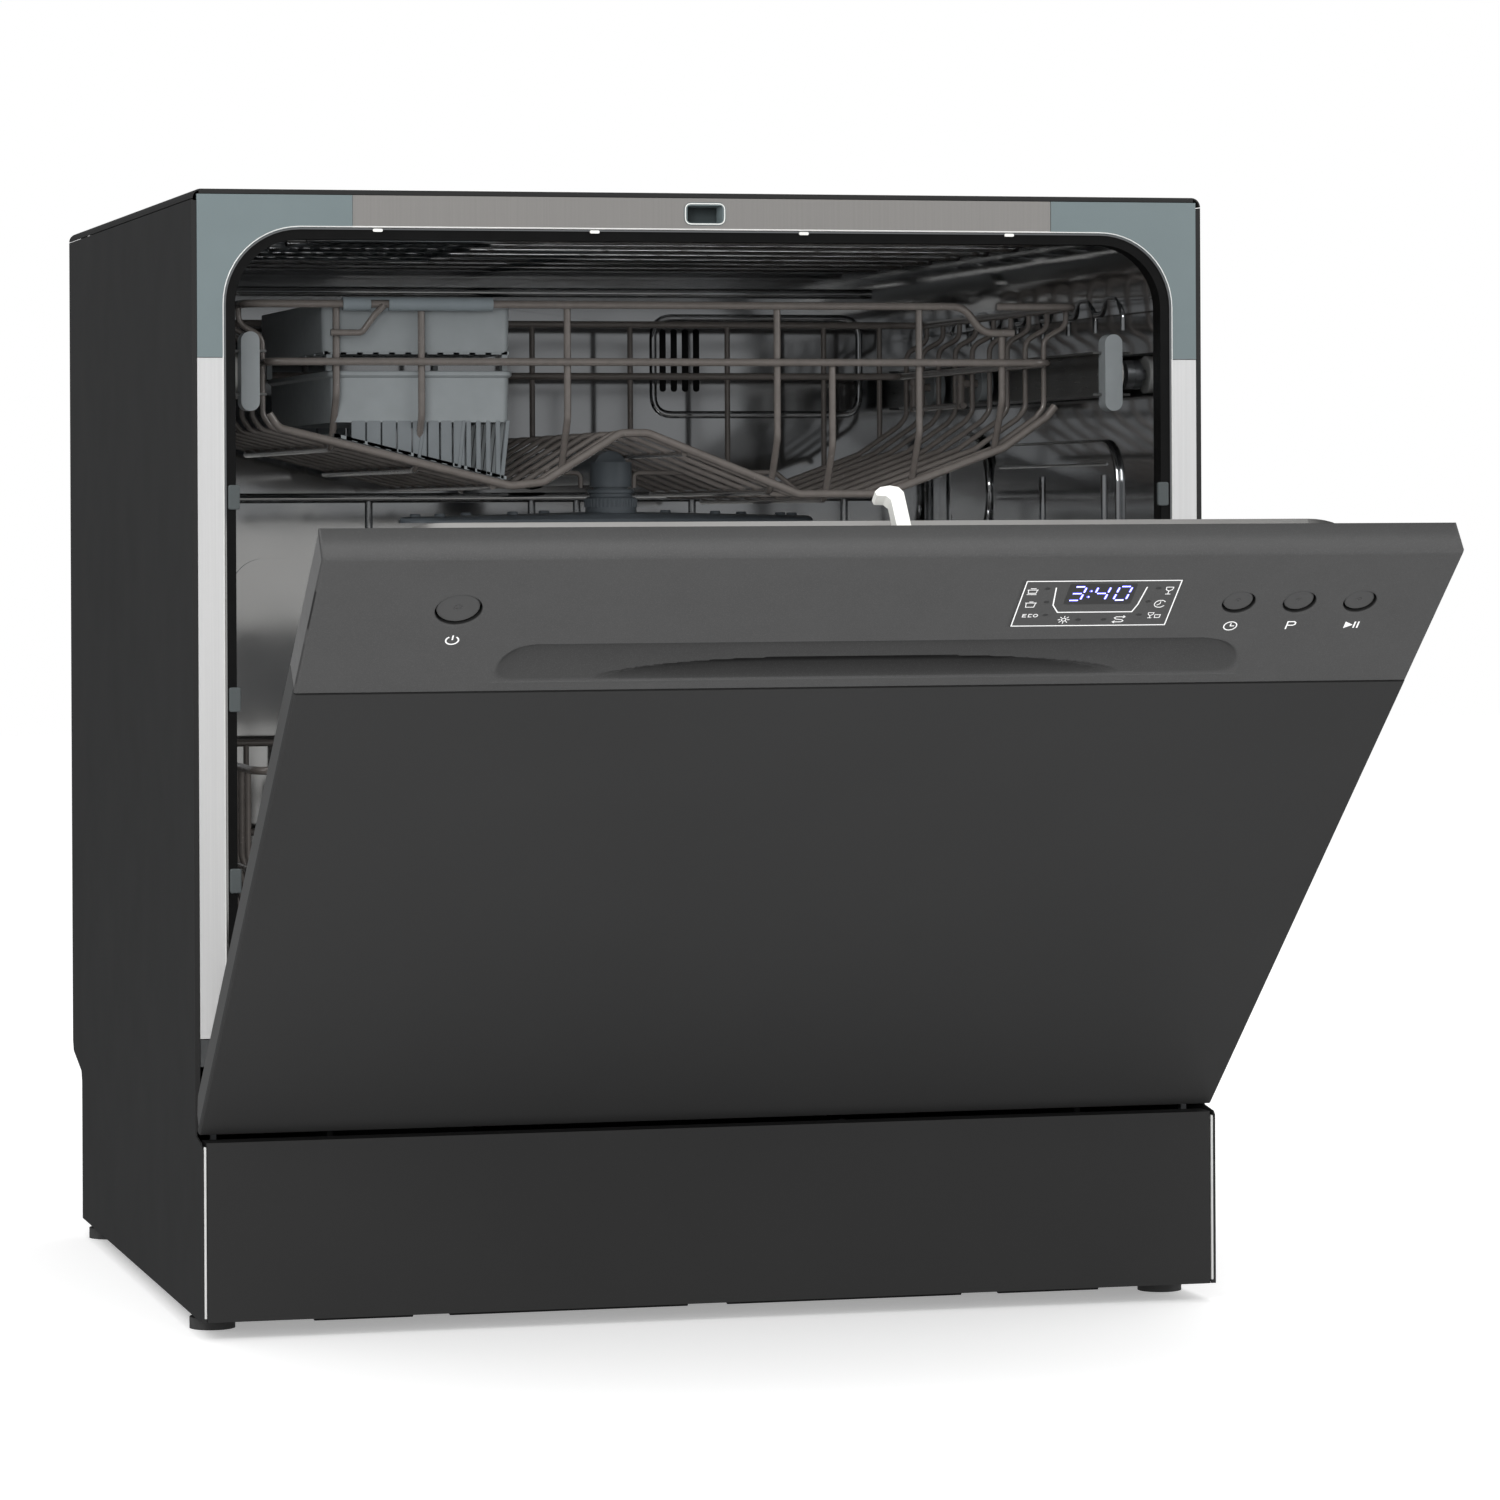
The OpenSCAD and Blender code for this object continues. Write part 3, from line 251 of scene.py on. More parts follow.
def face_shade(m):
    """Painted shade and highlight by place on the door's face: a darker recess floor and scoop and dark button wells as
    painted shade, and a lighter lower lip as a painted highlight.
    """
    nt = m.node_tree
    p = [n for n in nt.nodes if n.type == "BSDF_PRINCIPLED"][0]
    src = p.inputs["Base Color"].links[0].from_socket
    tc = nt.nodes.new("ShaderNodeTexCoord")
    sub = nt.nodes.new("ShaderNodeVectorMath")
    sub.operation = "SUBTRACT"
    sub.inputs[1].default_value = (0, HY * MM, HZ * MM)
    nt.links.new(tc.outputs["Object"], sub.inputs[0])

    def along(v):
        d = nt.nodes.new("ShaderNodeVectorMath")
        d.operation = "DOT_PRODUCT"
        d.inputs[1].default_value = v
        nt.links.new(sub.outputs["Vector"], d.inputs[0])
        return d.outputs["Value"]

    def ramp(value, a, b, stops):
        r = nt.nodes.new("ShaderNodeMapRange")
        r.inputs["From Min"].default_value = a * MM
        r.inputs["From Max"].default_value = b * MM
        nt.links.new(value, r.inputs["Value"])
        c = nt.nodes.new("ShaderNodeValToRGB")
        el = c.color_ramp.elements
        while len(el) < len(stops):
            el.new(0.5)
        for e, (q, v) in zip(el, stops):
            e.position = q
            e.color = (v, v, v, 1)
        nt.links.new(r.outputs["Result"], c.inputs["Fac"])
        return c.outputs["Color"]

    y = along((0, math.cos(REST), math.sin(REST)))
    z = along((0, -math.sin(REST), math.cos(REST)))
    # painted shade darkening the recess floor and scoop with depth, and a painted highlight on the raised lower lip
    deep = ramp(y, -8.6, 3.9, [(0.02, 1.3), (0.038, 1.0), (0.06, 1.0), (0.1, 0.74), (0.71, 0.68), (0.81, 0.36), (1.0, 0.2)])
    # painted shade darkening the button wells
    wells = ramp(y, -8.6, 3.9, [(0.0, 1.0), (0.06, 1.0), (0.1, 0.3), (1.0, 0.2)])
    in_recess = ramp(z, 370.0, 420.0, [(0.0, 0.0), (0.19, 0.0), (0.2, 1.0), (0.80, 1.0), (0.82, 0.0), (1.0, 0.0)])
    in_wells = ramp(z, 415.0, 455.0, [(0.0, 0.0), (0.15, 0.0), (0.17, 1.0), (0.86, 1.0), (0.88, 0.0), (1.0, 0.0)])
    for tone, mask in ((deep, in_recess), (wells, in_wells)):
        mx = nt.nodes.new("ShaderNodeMix")
        mx.data_type = "RGBA"
        mx.blend_type = "MULTIPLY"
        nt.links.new(mask, mx.inputs["Factor"])
        nt.links.new(src, mx.inputs["A"])
        nt.links.new(tone, mx.inputs["B"])
        src = mx.outputs["Result"]
    nt.links.new(src, p.inputs["Base Color"])


def set_material(o, m):
    if not o.material_slots:
        o.data.materials.append(m)
    for s in o.material_slots:
        s.material = m


for n, k in LOOK.items():
    set_material(nodes[n], M[k])


def soften(name, width, segments=2, angle=35):
    md = nodes[name].modifiers.new("edge", "BEVEL")
    md.width = width * MM
    md.segments = segments
    md.limit_method = "ANGLE"
    md.angle_limit = math.radians(angle)
    md.harden_normals = False
    md.use_clamp_overlap = True


# ------------------------------------------------------------------ builders
def to_row(v, door):
    w = Vector(v) * MM
    return DOOR @ w if door else w


def add_mesh(name, verts, faces, mat, body, door=False, smooth=False):
    me = bpy.data.meshes.new(name)
    me.from_pydata([to_row(v, door) for v in verts], [], faces)
    me.validate()
    me.update()
    bm = bmesh.new()
    bm.from_mesh(me)
    bmesh.ops.recalc_face_normals(bm, faces=bm.faces)
    bm.to_mesh(me)
    bm.free()
    o = bpy.data.objects.new(name, me)
    bpy.context.scene.collection.objects.link(o)
    me.materials.append(mat)
    if smooth:
        for f in me.polygons:
            f.use_smooth = True
    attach(o, body)
    return o


def bevel(o, width, segments=2, angle=30):
    md = o.modifiers.new("edge", "BEVEL")
    md.width = width * MM
    md.segments = segments
    md.limit_method = "ANGLE"
    md.angle_limit = math.radians(angle)
    return o


def prism_data(loop, a, b, axis):
    """A closed 2D loop pushed along an axis from a to b. axis x: loop in (y, z); y: (x, z); z: (x, y)."""
    n = len(loop)
    def p(u, v, w):
        return {"x": (w, u, v), "y": (u, w, v), "z": (u, v, w)}[axis]
    verts = [p(u, v, a) for u, v in loop] + [p(u, v, b) for u, v in loop]
    faces = [list(range(n))[::-1], list(range(n, 2 * n))]
    faces += [[i, (i + 1) % n, n + (i + 1) % n, n + i] for i in range(n)]
    return verts, faces


def prisms(name, items, mat, body, door=False, axis="y"):
    """Several prisms in one object: items are (loop, a, b)."""
    verts, faces = [], []
    for it in items:
        loop, a, b = it[:3]
        ax = it[3] if len(it) > 3 else axis
        v, f = prism_data(loop, a, b, ax)
        k = len(verts)
        verts += v
        faces += [[i + k for i in q] for q in f]
    return add_mesh(name, verts, faces, mat, body, door)


def box_loop(x0, z0, x1, z1):
    return [(x0, z0), (x1, z0), (x1, z1), (x0, z1)]


def round_loop(x0, z0, x1, z1, r, n=8):
    pts = []
    for cx, cz, a0 in ((x1 - r, z0 + r, -90), (x1 - r, z1 - r, 0), (x0 + r, z1 - r, 90), (x0 + r, z0 + r, 180)):
        for i in range(n + 1):
            a = math.radians(a0 + 90.0 * i / n)
            pts.append((cx + r * math.cos(a), cz + r * math.sin(a)))
    return pts


def circle_loop(cx, cz, r, n=32, sx=1.0):
    return [(cx + r * sx * math.cos(2 * math.pi * i / n), cz + r * math.sin(2 * math.pi * i / n)) for i in range(n)]


def stroke(points, w, closed=False):
    """Loop of a line of width w along 2D points, with mitred corners. A closed one comes as separate bars."""
    if closed:
        out = []
        n = len(points)
        for i in range(n):
            out += stroke([points[i], points[(i + 1) % n]], w)
        return out
    def nrm(a, b):
        dx, dy = b[0] - a[0], b[1] - a[1]
        l = math.hypot(dx, dy)
        return (-dy / l, dx / l)
    left, right = [], []
    for i, p in enumerate(points):
        if i == 0:
            n = nrm(points[0], points[1]); k = 1.0
        elif i == len(points) - 1:
            n = nrm(points[-2], points[-1]); k = 1.0
        else:
            a, b = nrm(points[i - 1], p), nrm(p, points[i + 1])
            d = 1 + a[0] * b[0] + a[1] * b[1]
            n = ((a[0] + b[0]) / d, (a[1] + b[1]) / d); k = 1.0
        left.append((p[0] + n[0] * w / 2 * k, p[1] + n[1] * w / 2 * k))
        right.append((p[0] - n[0] * w / 2 * k, p[1] - n[1] * w / 2 * k))
    return [left + right[::-1]]


def fillet(points, r, cyclic=False, steps=6):
    """3D polyline with round elbows of radius r."""
    pts = [Vector(p) for p in points]
    n = len(pts)
    out = []
    for i in range(n):
        if not cyclic and i in (0, n - 1):
            out.append(pts[i])
            continue
        a, b, c = pts[(i - 1) % n], pts[i], pts[(i + 1) % n]
        u, v = (a - b), (c - b)
        lu, lv = u.length, v.length
        u, v = u / lu, v / lv
        ang = math.acos(max(-1, min(1, u.dot(v))))
        if ang > math.radians(176):
            out.append(b)
            continue
        t = min(r / math.tan(ang / 2), lu * 0.45, lv * 0.45)
        p0, p1 = b + u * t, b + v * t
        for k in range(steps + 1):
            s = k / steps
            out.append(p0 * (1 - s) ** 2 + b * 2 * s * (1 - s) + p1 * s ** 2)
    return out


def wires(name, items, mat, body, replaced=(), door=False, res=3):
    """One curve object of round wires: items are (points, radius, cyclic, elbow radius)."""
    cu = bpy.data.curves.new(name, "CURVE")
    cu.dimensions = "3D"
    cu.bevel_depth = 1.0
    cu.bevel_resolution = res
    cu.use_fill_caps = True
    for it in items:
        pts, r = it[0], it[1]
        cyc = it[2] if len(it) > 2 else False
        el = it[3] if len(it) > 3 else 6.0
        pp = fillet(pts, el, cyc) if len(pts) > 2 else [Vector(p) for p in pts]
        sp = cu.splines.new("POLY")
        sp.points.add(len(pp) - 1)
        for q, p in zip(sp.points, pp):
            w = to_row(p, door)
            q.co = (w.x, w.y, w.z, 1)
            q.radius = r * MM
        sp.use_cyclic_u = cyc
        sp.use_smooth = True
    o = bpy.data.objects.new(name, cu)
    bpy.context.scene.collection.objects.link(o)
    cu.materials.append(mat)
    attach(o, body)
    if replaced:
        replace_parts(o, *replaced)
    return o


# ------------------------------------------------------------------ racks
RZ, SZ, Y0, Y1, RW = 539.0, 508.0, -143.5, 165.0, 233.0
WF = [(-220, 480), (-215, 472.5), (-88, 441), (-70, 443), (-27, 469.5), (-12, 469.5),
      (73, 436), (121, 436), (190, 461), (215, 478), (220, 484)]


def wz(x):
    for (x0, z0), (x1, z1) in zip(WF, WF[1:]):
        if x0 <= x <= x1:
            return z0 + (z1 - z0) * (x - x0) / (x1 - x0)
    return 480


up = []
# rim: back and sides, then the front wire that dips on the right
up.append(([(196, Y0, 524.5), (178, Y0, 524.5), (167, Y0, RZ), (-RW, Y0, RZ), (-RW, Y1, RZ), (RW, Y1, RZ), (RW, Y0, RZ), (186, Y0, RZ)], 2.2, False, 13))
up.append(([(-220, Y0, SZ), (218, Y0, SZ), (218, Y1 - 1, SZ), (-220, Y1 - 1, SZ)], 2.2, True, 11))
up.append(([(x, Y0 + 0.6, z) for x, z in WF], 2.3, False, 9))
for i in range(9):
    y = -122 + 35 * i
    up.append(([(-RW, y, RZ), (-RW, y, 529), (-220, y, 522)] + [(x, y, z) for x, z in WF] + [(220, y, 522), (RW, y, 529), (RW, y, RZ)], 1.6, False, 8))
for x in (-183, -136.5, -56, 61.6, 92.8, 142.4, 190.0):
    top = SZ - 1 if x == 92.8 else (524.5 if x > 177 else RZ - 1)
    up.append(([(x, Y0 + 2.8, top), (x, Y0 + 2.8, wz(x) + 26), (x, Y0 + 20, wz(x) - 3), (x, Y1 - 6, wz(x) - 3)], 2.0, False, 10))
for x in (-97, 10):
    up.append(([(x, Y0 + 6, wz(x) - 2.6), (x, Y1 - 4, wz(x) - 2.6)], 1.6))
# wire yoke that holds the upper spray arm
up.append(([(-88, -2, wz(-88) - 3), (-80, -2, 449), (-18, -2, 449), (-18, -2, 440.5)], 1.5, False, 4))
up.append(([(110, -2, 438), (96, -2, 449), (13, -2, 449), (13, -2, 440.5)], 1.5, False, 4))
# hook below the left end of the rim
up.append(([(-158, Y0 - 2.6, RZ - 1), (-163, Y0 - 2.6, 533), (-170, Y0 - 2.6, 523.5), (-187, Y0 - 2.6, 523.5)], 1.8, False, 4))
# back uprights
for x in (-190, -130, -70, -10, 50, 110, 170, 205):
    up.append(([(x, Y1, RZ), (x, Y1, wz(x))], 1.7))
for sx in (-1, 1):
    for y in (40, 140):
        up.append(([(sx * 217, y, 501), (sx * 236.9, y, 501)], 2.5))
        up.append(([(sx * 219.5, y, 486), (sx * 219.5, y, 510)], 2.7))
    up.append(([(sx * 219.4, 34, 488), (sx * 219.4, 146, 488)], 1.9))
wires("upper_rack_wires", up, M["rack"], "upper_basket", ("upper_rack",))

LX, LY0, LY1 = 236.0, -190.0, 185.0
lo = []
for z in (291, 238):
    lo.append(([(-LX, LY0, z), (LX, LY0, z), (LX, LY1, z), (-LX, LY1, z)], 2.2, True, 14))
lo.append(([(-222, LY0 + 4, 190), (222, LY0 + 4, 190), (222, LY1, 190), (-222, LY1, 190)], 2.2, True, 11))
for y in range(-165, 180, 21):
    lo.append(([(-LX, y, 290), (-LX, y, 244), (-222, y, 190), (222, y, 190), (LX, y, 244), (LX, y, 290)], 1.7, False, 12))
for x in range(-204, 205, 24):
    lo.append(([(x, LY0 + 2.6, 290), (x, LY0 + 2.6, 192), (x, LY0 + 8, 187.2), (x, LY1 - 2, 187.2), (x, LY1, 192), (x, LY1, 290)], 1.7, False, 5))
for y in (-45, 60):
    for x in range(-160, 150, 21):
        lo.append(([(x, y, 190), (x, y, 258), (x + 5, y, 263), (x + 10, y, 258), (x + 10, y, 190)], 1.6, False, 3))
for sx in (-1, 1):
    for y in (-140, 120):
        lo.append(([(sx * 223.4, y - 14, 190), (sx * 223.4, y - 4, 153.8), (sx * 223.4, y + 4, 153.8), (sx * 223.4, y + 14, 190)], 2.1, False, 4))
        lo.append(([(sx * 222, y, 153.5), (sx * 238.8, y, 153.5)], 2.5))
wires("lower_rack_wires", lo, M["rack"], "lower_basket", ("lower_rack", "plate_tines"))

# ------------------------------------------------------------------ pressed shapes in the tub
WX = 257.2          # inner face of the side walls
TOPZ = 574.3        # inner face of the ceiling
BACKY = 215.2       # inner face of the back wall


def pillow(name, items, mat, body, width, axis, segments=3):
    """Flat raised fields with soft edges: items are (loop, a, b)."""
    o = prisms(name, items, mat, body, axis=axis)
    bevel(o, width, segments, 40)
    for f in o.data.polygons:
        f.use_smooth = True
    o.data.set_sharp_from_angle(angle=math.radians(60))
    return o


def half_wires(name, items, mat, body):
    """Ribs half sunk in a wall."""
    return wires(name, items, mat, body, res=4)


for sx, side in ((1, "right"), (-1, "left")):
    a, b = sorted((sx * (WX - 3.0), sx * (WX + 0.4)))
    pillow("wall_field_" + side, [(round_loop(-146, 176, 92, 466, 26), a, b)], M["steel"], "cabinet", 2.4, "x")
    c, d = sorted((sx * (WX - 4.2), sx * (WX + 0.4)))
    pillow("wall_round_" + side, [(circle_loop(140, 438, 36, 56, 1.12), c, d)], M["steel"], "cabinet", 2.6, "x")
    ribs = [([(sx * (WX - 2.8), y, z) for y, z in ((-130, 452), (-20, 452), (76, 452))], 0.9)]
    for y in (-124, -8):
        ribs.append(([(sx * (WX - 2.4), y, 190), (sx * (WX - 2.4), y, 446)], 2.6))
    ribs.append(([(sx * (WX + 0.4), 192, 190), (sx * (WX + 0.4), 192, 462)], 3.2))
    # wavy ribs above the rail
    for i in range(7):
        y = -150 + 50 * i
        ribs.append(([(sx * (WX + 0.6), y, 526), (sx * (WX + 0.6), y, 536), (sx * (WX + 0.6), y + 10, 545), (sx * (WX + 0.6), y + 26, 545), (sx * (WX + 0.6), y + 36, 536), (sx * (WX + 0.6), y + 50, 536)], 2.2, False, 8))
    half_wires("wall_ribs_" + side, ribs, M["steel"], "cabinet")
# long ribs across the ceiling
cr = []
for y, x0, x1 in ((-176, -205, 205), (-118, -206, 206), (-60, -206, 206), (-2, -206, 206), (56, -206, 206), (114, -206, 206), (172, -206, 206)):
    cr.append(([(x0, y, TOPZ + 1.4), (x1, y, TOPZ + 1.4)], 5.2))
half_wires("ceiling_ribs", cr, M["steel"], "cabinet")
# frame round the vent in the back wall, and beads beside it
br = [([(76, BACKY + 0.6, 486), (76, BACKY + 0.6, 545), (206, BACKY + 0.6, 545), (206, BACKY + 0.6, 486)], 2.4, True, 12)]
for x in (-196, -100, 0, 28, 100, 196):
    br.append(([(x, BACKY + 0.8, 204), (x, BACKY + 0.8, 436)], 2.6))
for z in (436, 560):
    br.append(([(-214, BACKY + 0.8, z), (214, BACKY + 0.8, z)], 3.2))
half_wires("back_ribs", br, M["steel"], "cabinet")

# bright folded edge of the tub round the opening
YC = -231.5


def arch_loop(h, z0, z1, r, n=14):
    pts = [(-h, z0)]
    for cx, a0 in ((-h + r, 180), (h - r, 90)):
        for i in range(n + 1):
            t = math.radians(a0 - 90.0 * i / n)
            pts.append((cx + r * math.cos(t), z1 - r + r * math.sin(t)))
    pts.append((h, z0))
    return pts


outer = arch_loop(258.6, 155, 575.8, 40.6)
wires("tub_lip", [([(x, YC + 0.02, z) for x, z in outer], 0.44, False, 1.0)], M["lip"], "cabinet", res=3)

# clips that hold the gasket
clips = []
for x in (-177, -61, 53, 167):
    clips.append((round_loop(x - 2.6, 573.3, x + 2.6, 574.9, 0.7, 4), YC - 0.38, YC + 1.6))
prisms("gasket_clips_top", clips, M["light"], "cabinet")
clips = []
for sx in (-1, 1):
    for z in (236, 330, 435):
        x0, x1 = sorted((sx * 250.2, sx * 256.4))
        clips.append((round_loop(x0, z - 6.4, x1, z + 6.4, 1.2, 4), YC - 0.38, YC + 2.4))
o = prisms("gasket_clips_side", clips, M["clip"], "cabinet")
bevel(o, 0.7, 2, 40)

# light strips beside the kick plate: painted highlights for its rounded side edges catching light
edge = []
for sx in (-1, 1):
    x0, x1 = sorted((sx * 272.3, sx * 273.5))
    edge.append((box_loop(x0, 12, x1, 100.5), -250.15, -247.5))
o = prisms("kick_edge_highlights", edge, M["lip"], "cabinet")
bevel(o, 0.35, 2, 40)

# rounded rim of the latch opening
wires("latch_rim", [([(-11.8, YC + 0.0, 578.7), (9.6, YC + 0.0, 578.7), (9.6, YC + 0.0, 589.5), (-11.8, YC + 0.0, 589.5)], 0.42, True, 3.4)], M["light"], "cabinet", res=3)
prisms("latch_seat", [([(9.0, YC - 0.1), (9.0, YC + 7), (6.9, YC + 7), (8.5, YC - 0.1)], 579.3, 588.9, "z"),
                      ([(-11.2, YC - 0.2), (-10.7, YC - 0.2), (-9.4, YC + 7), (-11.2, YC + 7)], 579.3, 588.9, "z"),
                      ([(YC - 0.2, 588.9), (YC - 0.2, 588.5), (YC + 7, 587.7), (YC + 7, 588.9)], -11.0, 8.8, "x")], M["cap"], "cabinet")

# ------------------------------------------------------------------ cutlery basket
BY0, BY1 = -137.0, 65.0
BY0, BY1 = -136.5, 66.0


def tray(verts, faces, x0, x1, y0, y1, z0, z1, r, t, taper=0.0, n=6, lip=0.0, lip_h=3.0, floor=None):
    """Round-cornered open wall ring with an outward lip: adds to verts and faces."""
    def ring(g, z):
        k = len(verts)
        for u, v in round_loop(x0 + g, y0 + g, x1 - g, y1 - g, max(0.4, r - g), n):
            verts.append((u, v, z))
        return k
    m = 4 * (n + 1)
    rings = [ring(taper, z0)]
    if lip:
        rings += [ring(0.2, z1 - lip_h - 0.8), ring(-lip * 0.6, z1 - lip_h), ring(-lip, z1 - lip_h + 0.7), ring(-lip, z1 - 0.5), ring(-lip + 0.5, z1), ring(t * 0.6, z1), ring(t, z1 - 0.5)]
    else:
        rings += [ring(0.0, z1 - 0.6), ring(0.4, z1), ring(t - 0.4, z1), ring(t, z1 - 0.6)]
    rings.append(ring(taper + t, z0))
    for a, b in zip(rings, rings[1:] + rings[:1]):
        for i in range(m):
            faces.append((a + i, a + (i + 1) % m, b + (i + 1) % m, b + i))


def shade(o, deg=35):
    for f in o.data.polygons:
        f.use_smooth = True
    o.data.set_sharp_from_angle(angle=math.radians(deg))
    return o


def slab(verts, faces, quad, z_t):
    """A sloping plate: quad is four (x, y, z) corners, z_t its thickness upwards."""
    k = len(verts)
    verts.extend(quad)
    verts.extend([(x, y, z + z_t) for x, y, z in quad])
    faces.extend([(k + 3, k + 2, k + 1, k), (k + 4, k + 5, k + 6, k + 7)] + [(k + i, k + (i + 1) % 4, k + 4 + (i + 1) % 4, k + 4 + i) for i in range(4)])


v, f = [], []
tray(v, f, -185, -86.5, BY0, BY1, 475.5, 503.2, 6, 1.7, taper=0.8, lip=1.6)
shade(add_mesh("cutlery_basket_wall", v, f, M["grey"], "upper_basket"))


def bfloor(x):
    return wz(x) + 3.2


v, f = [], []
# sloping floor with slots: bars from front to back, and cross bars
n = 15
for i in range(n):
    x0 = -183 + (183 - 91) * i / n
    x1 = x0 + 3.2
    slab(v, f, [(x0, BY0 + 0.6, bfloor(x0)), (x1, BY0 + 0.6, bfloor(x1)), (x1, BY1 - 0.6, bfloor(x1)), (x0, BY1 - 0.6, bfloor(x0))], 1.8)
for k in range(7):
    y0 = BY0 + 0.6 + (BY1 - BY0 - 4.4) * k / 6
    for a, b in ((-183, -136), (-136, -89)):
        slab(v, f, [(a, y0, bfloor(a)), (b, y0, bfloor(b)), (b, y0 + 3.2, bfloor(b)), (a, y0 + 3.2, bfloor(a))], 1.8)
add_mesh("cutlery_basket_floor", v, f, M["grey"], "upper_basket")


def panel_strip(items, x0, x1, y, t=1.7, lift=0.0):
    """Upright strip of the comb from the sloping floor to the wall ring."""
    z0, z1 = bfloor(x0) - lift, bfloor(x1) - lift
    if 476.5 - max(z0, z1) > 0.5:
        items.append(([(x0, z0), (x1, z1), (x1, 476.5), (x0, 476.5)], y, y + t))


items = []
for y in (BY0 + 0.6, BY1 - 2.3):
    # plate with thin slots, then an open comb
    x = -174.0
    while x < -134:
        panel_strip(items, x, x + 7.6, y)
        x += 8.4
    while x < -112:
        panel_strip(items, x, x + 6.0, y)
        x += 7.0
    while x < -90:
        panel_strip(items, x, x + 2.6, y)
        x += 5.4
    # end strip that leans out
    items.append(([(-92.6, bfloor(-92) - 1), (-90.4, bfloor(-90) - 1), (-86.8, 476.5), (-89.0, 476.5)], y, y + 1.7))
    # slanting divisions in front of the comb
    for xa in (-134.5, -112.5):
        items.append(([(xa - 3.5, bfloor(xa - 3)), (xa - 1.7, bfloor(xa - 1.7)), (xa + 1.2, 476.5), (xa - 0.8, 476.5)], y - 0.5, y + 2.2))
# the comb takes the darker painted-shade copy of the basket plastic
o = prisms("cutlery_basket_comb", items, M["comb"], "upper_basket")
bevel(o, 0.3, 1, 40)
# right side of the comb: bars that lean out
items = []
for k in range(18):
    y0 = BY0 + 3 + (BY1 - BY0 - 8) * k / 17
    items.append(([(-92.4, bfloor(-92)), (-90.6, bfloor(-90)), (-87.0, 476.5), (-88.8, 476.5)], y0, y0 + 2.4))
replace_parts(prisms("cutlery_basket_side", items, M["grey"], "upper_basket"), "cutlery_basket")

# upper tray
v, f = [], []
tray(v, f, -190, -86.5, BY0, BY1, 513.2, 540.0, 5, 1.7, taper=0.5)
shade(add_mesh("cutlery_tray_wall", v, f, M["grey"], "upper_basket"))
v, f = [], []
for i in range(12):
    x0 = -188.6 + (188.6 - 88.2 - 3.2) * i / 11
    slab(v, f, [(x0, BY0 + 0.8, 512.2), (x0 + 3.2, BY0 + 0.8, 512.2), (x0 + 3.2, BY1 - 0.8, 512.2), (x0, BY1 - 0.8, 512.2)], 1.6)
for k in range(8):
    y0 = BY0 + 0.8 + (BY1 - BY0 - 4.8) * k / 7
    slab(v, f, [(-189.2, y0, 512.2), (-87.3, y0, 512.2), (-87.3, y0 + 3.2, 512.2), (-189.2, y0 + 3.2, 512.2)], 1.6)
# feet on the lower rim
for x in (-187.3, -91):
    for y in (BY0 + 1.5, BY1 - 6.5):
        slab(v, f, [(x, y, 503.3), (x + 3.0, y, 503.3), (x + 3.0, y + 5, 503.3), (x, y + 5, 503.3)], 10.4)
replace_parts(add_mesh("cutlery_tray_floor", v, f, M["grey"], "upper_basket"), "cutlery_top")

# ------------------------------------------------------------------ upper spray arm


def blade(name, reach, z0, t, turn, mat, body, drop=0.0, w=20.0):
    """Tapered hollow-looking blade with a raised rib and nozzles on both halves."""
    verts, faces = [], []
    n = 22
    stations = []
    for i in range(-n, n + 1):
        u = i / n
        a = abs(u)
        half = (w + 2) - 8 * a if a < 0.9 else ((w + 2) - 7.2) * math.sqrt(max(0.02, 1 - ((a - 0.9) / 0.1) ** 2))
        th = t * (1.0 - 0.42 * a)
        stations.append((u * reach, half, z0 + 0.6 * a, z0 + th))
    prof = [(-1.0, 0.0), (-1.0, 0.35), (-0.86, 0.72), (-0.5, 0.93), (-0.12, 1.0), (0.12, 1.0), (0.5, 0.93), (0.86, 0.72), (1.0, 0.35), (1.0, 0.0), (0.86, -0.0), (-0.86, -0.0)]
    m = len(prof)
    ct, st = math.cos(turn), math.sin(turn)
    for x, h, lo_, hi in stations:
        for a, b in prof:
            y = a * h
            verts.append((x * ct - y * st, x * st + y * ct, lo_ + (hi - lo_) * b))
    k = len(stations)
    for i in range(k - 1):
        for j in range(m):
            q = i * m
            faces.append((q + j, q + (j + 1) % m, q + m + (j + 1) % m, q + m + j))
    faces.append(tuple(range(m))[::-1])
    faces.append(tuple((k - 1) * m + j for j in range(m)))
    o = shade(add_mesh(name, verts, faces, mat, body), 40)
    humps = []
    for sgn in (-1, 1):
        for f_, off in ((0.3, 5), (0.5, -4), (0.68, 4), (0.84, -3), (0.93, 2)):
            x, y = sgn * reach * f_, off
            top = z0 + t * (1.0 - 0.42 * f_)
            humps.append((circle_loop(x * ct - y * st, x * st + y * ct, 3.1, 16), top - 1.2, top + 1.5, "z"))
    o2 = prisms(name + "_nozzles", humps, mat, body, axis="z")
    bevel(o2, 0.8, 3, 40)
    return o


def turned(name, cx, cy, profile, mat, body, n=48):
    """A turned piece about an upright axis: profile is (radius, z) down the outside and up the inside."""
    verts, faces = [], []
    for r, z in profile:
        for k in range(n):
            a = 2 * math.pi * k / n
            verts.append((cx + r * math.cos(a), cy + r * math.sin(a), z))
    m = len(profile)
    for j in range(m):
        for k in range(n):
            a, b = j * n + k, j * n + (k + 1) % n
            c, d = ((j + 1) % m) * n + (k + 1) % n, ((j + 1) % m) * n + k
            faces.append((a, b, c, d))
    return shade(add_mesh(name, verts, faces, mat, body), 35)


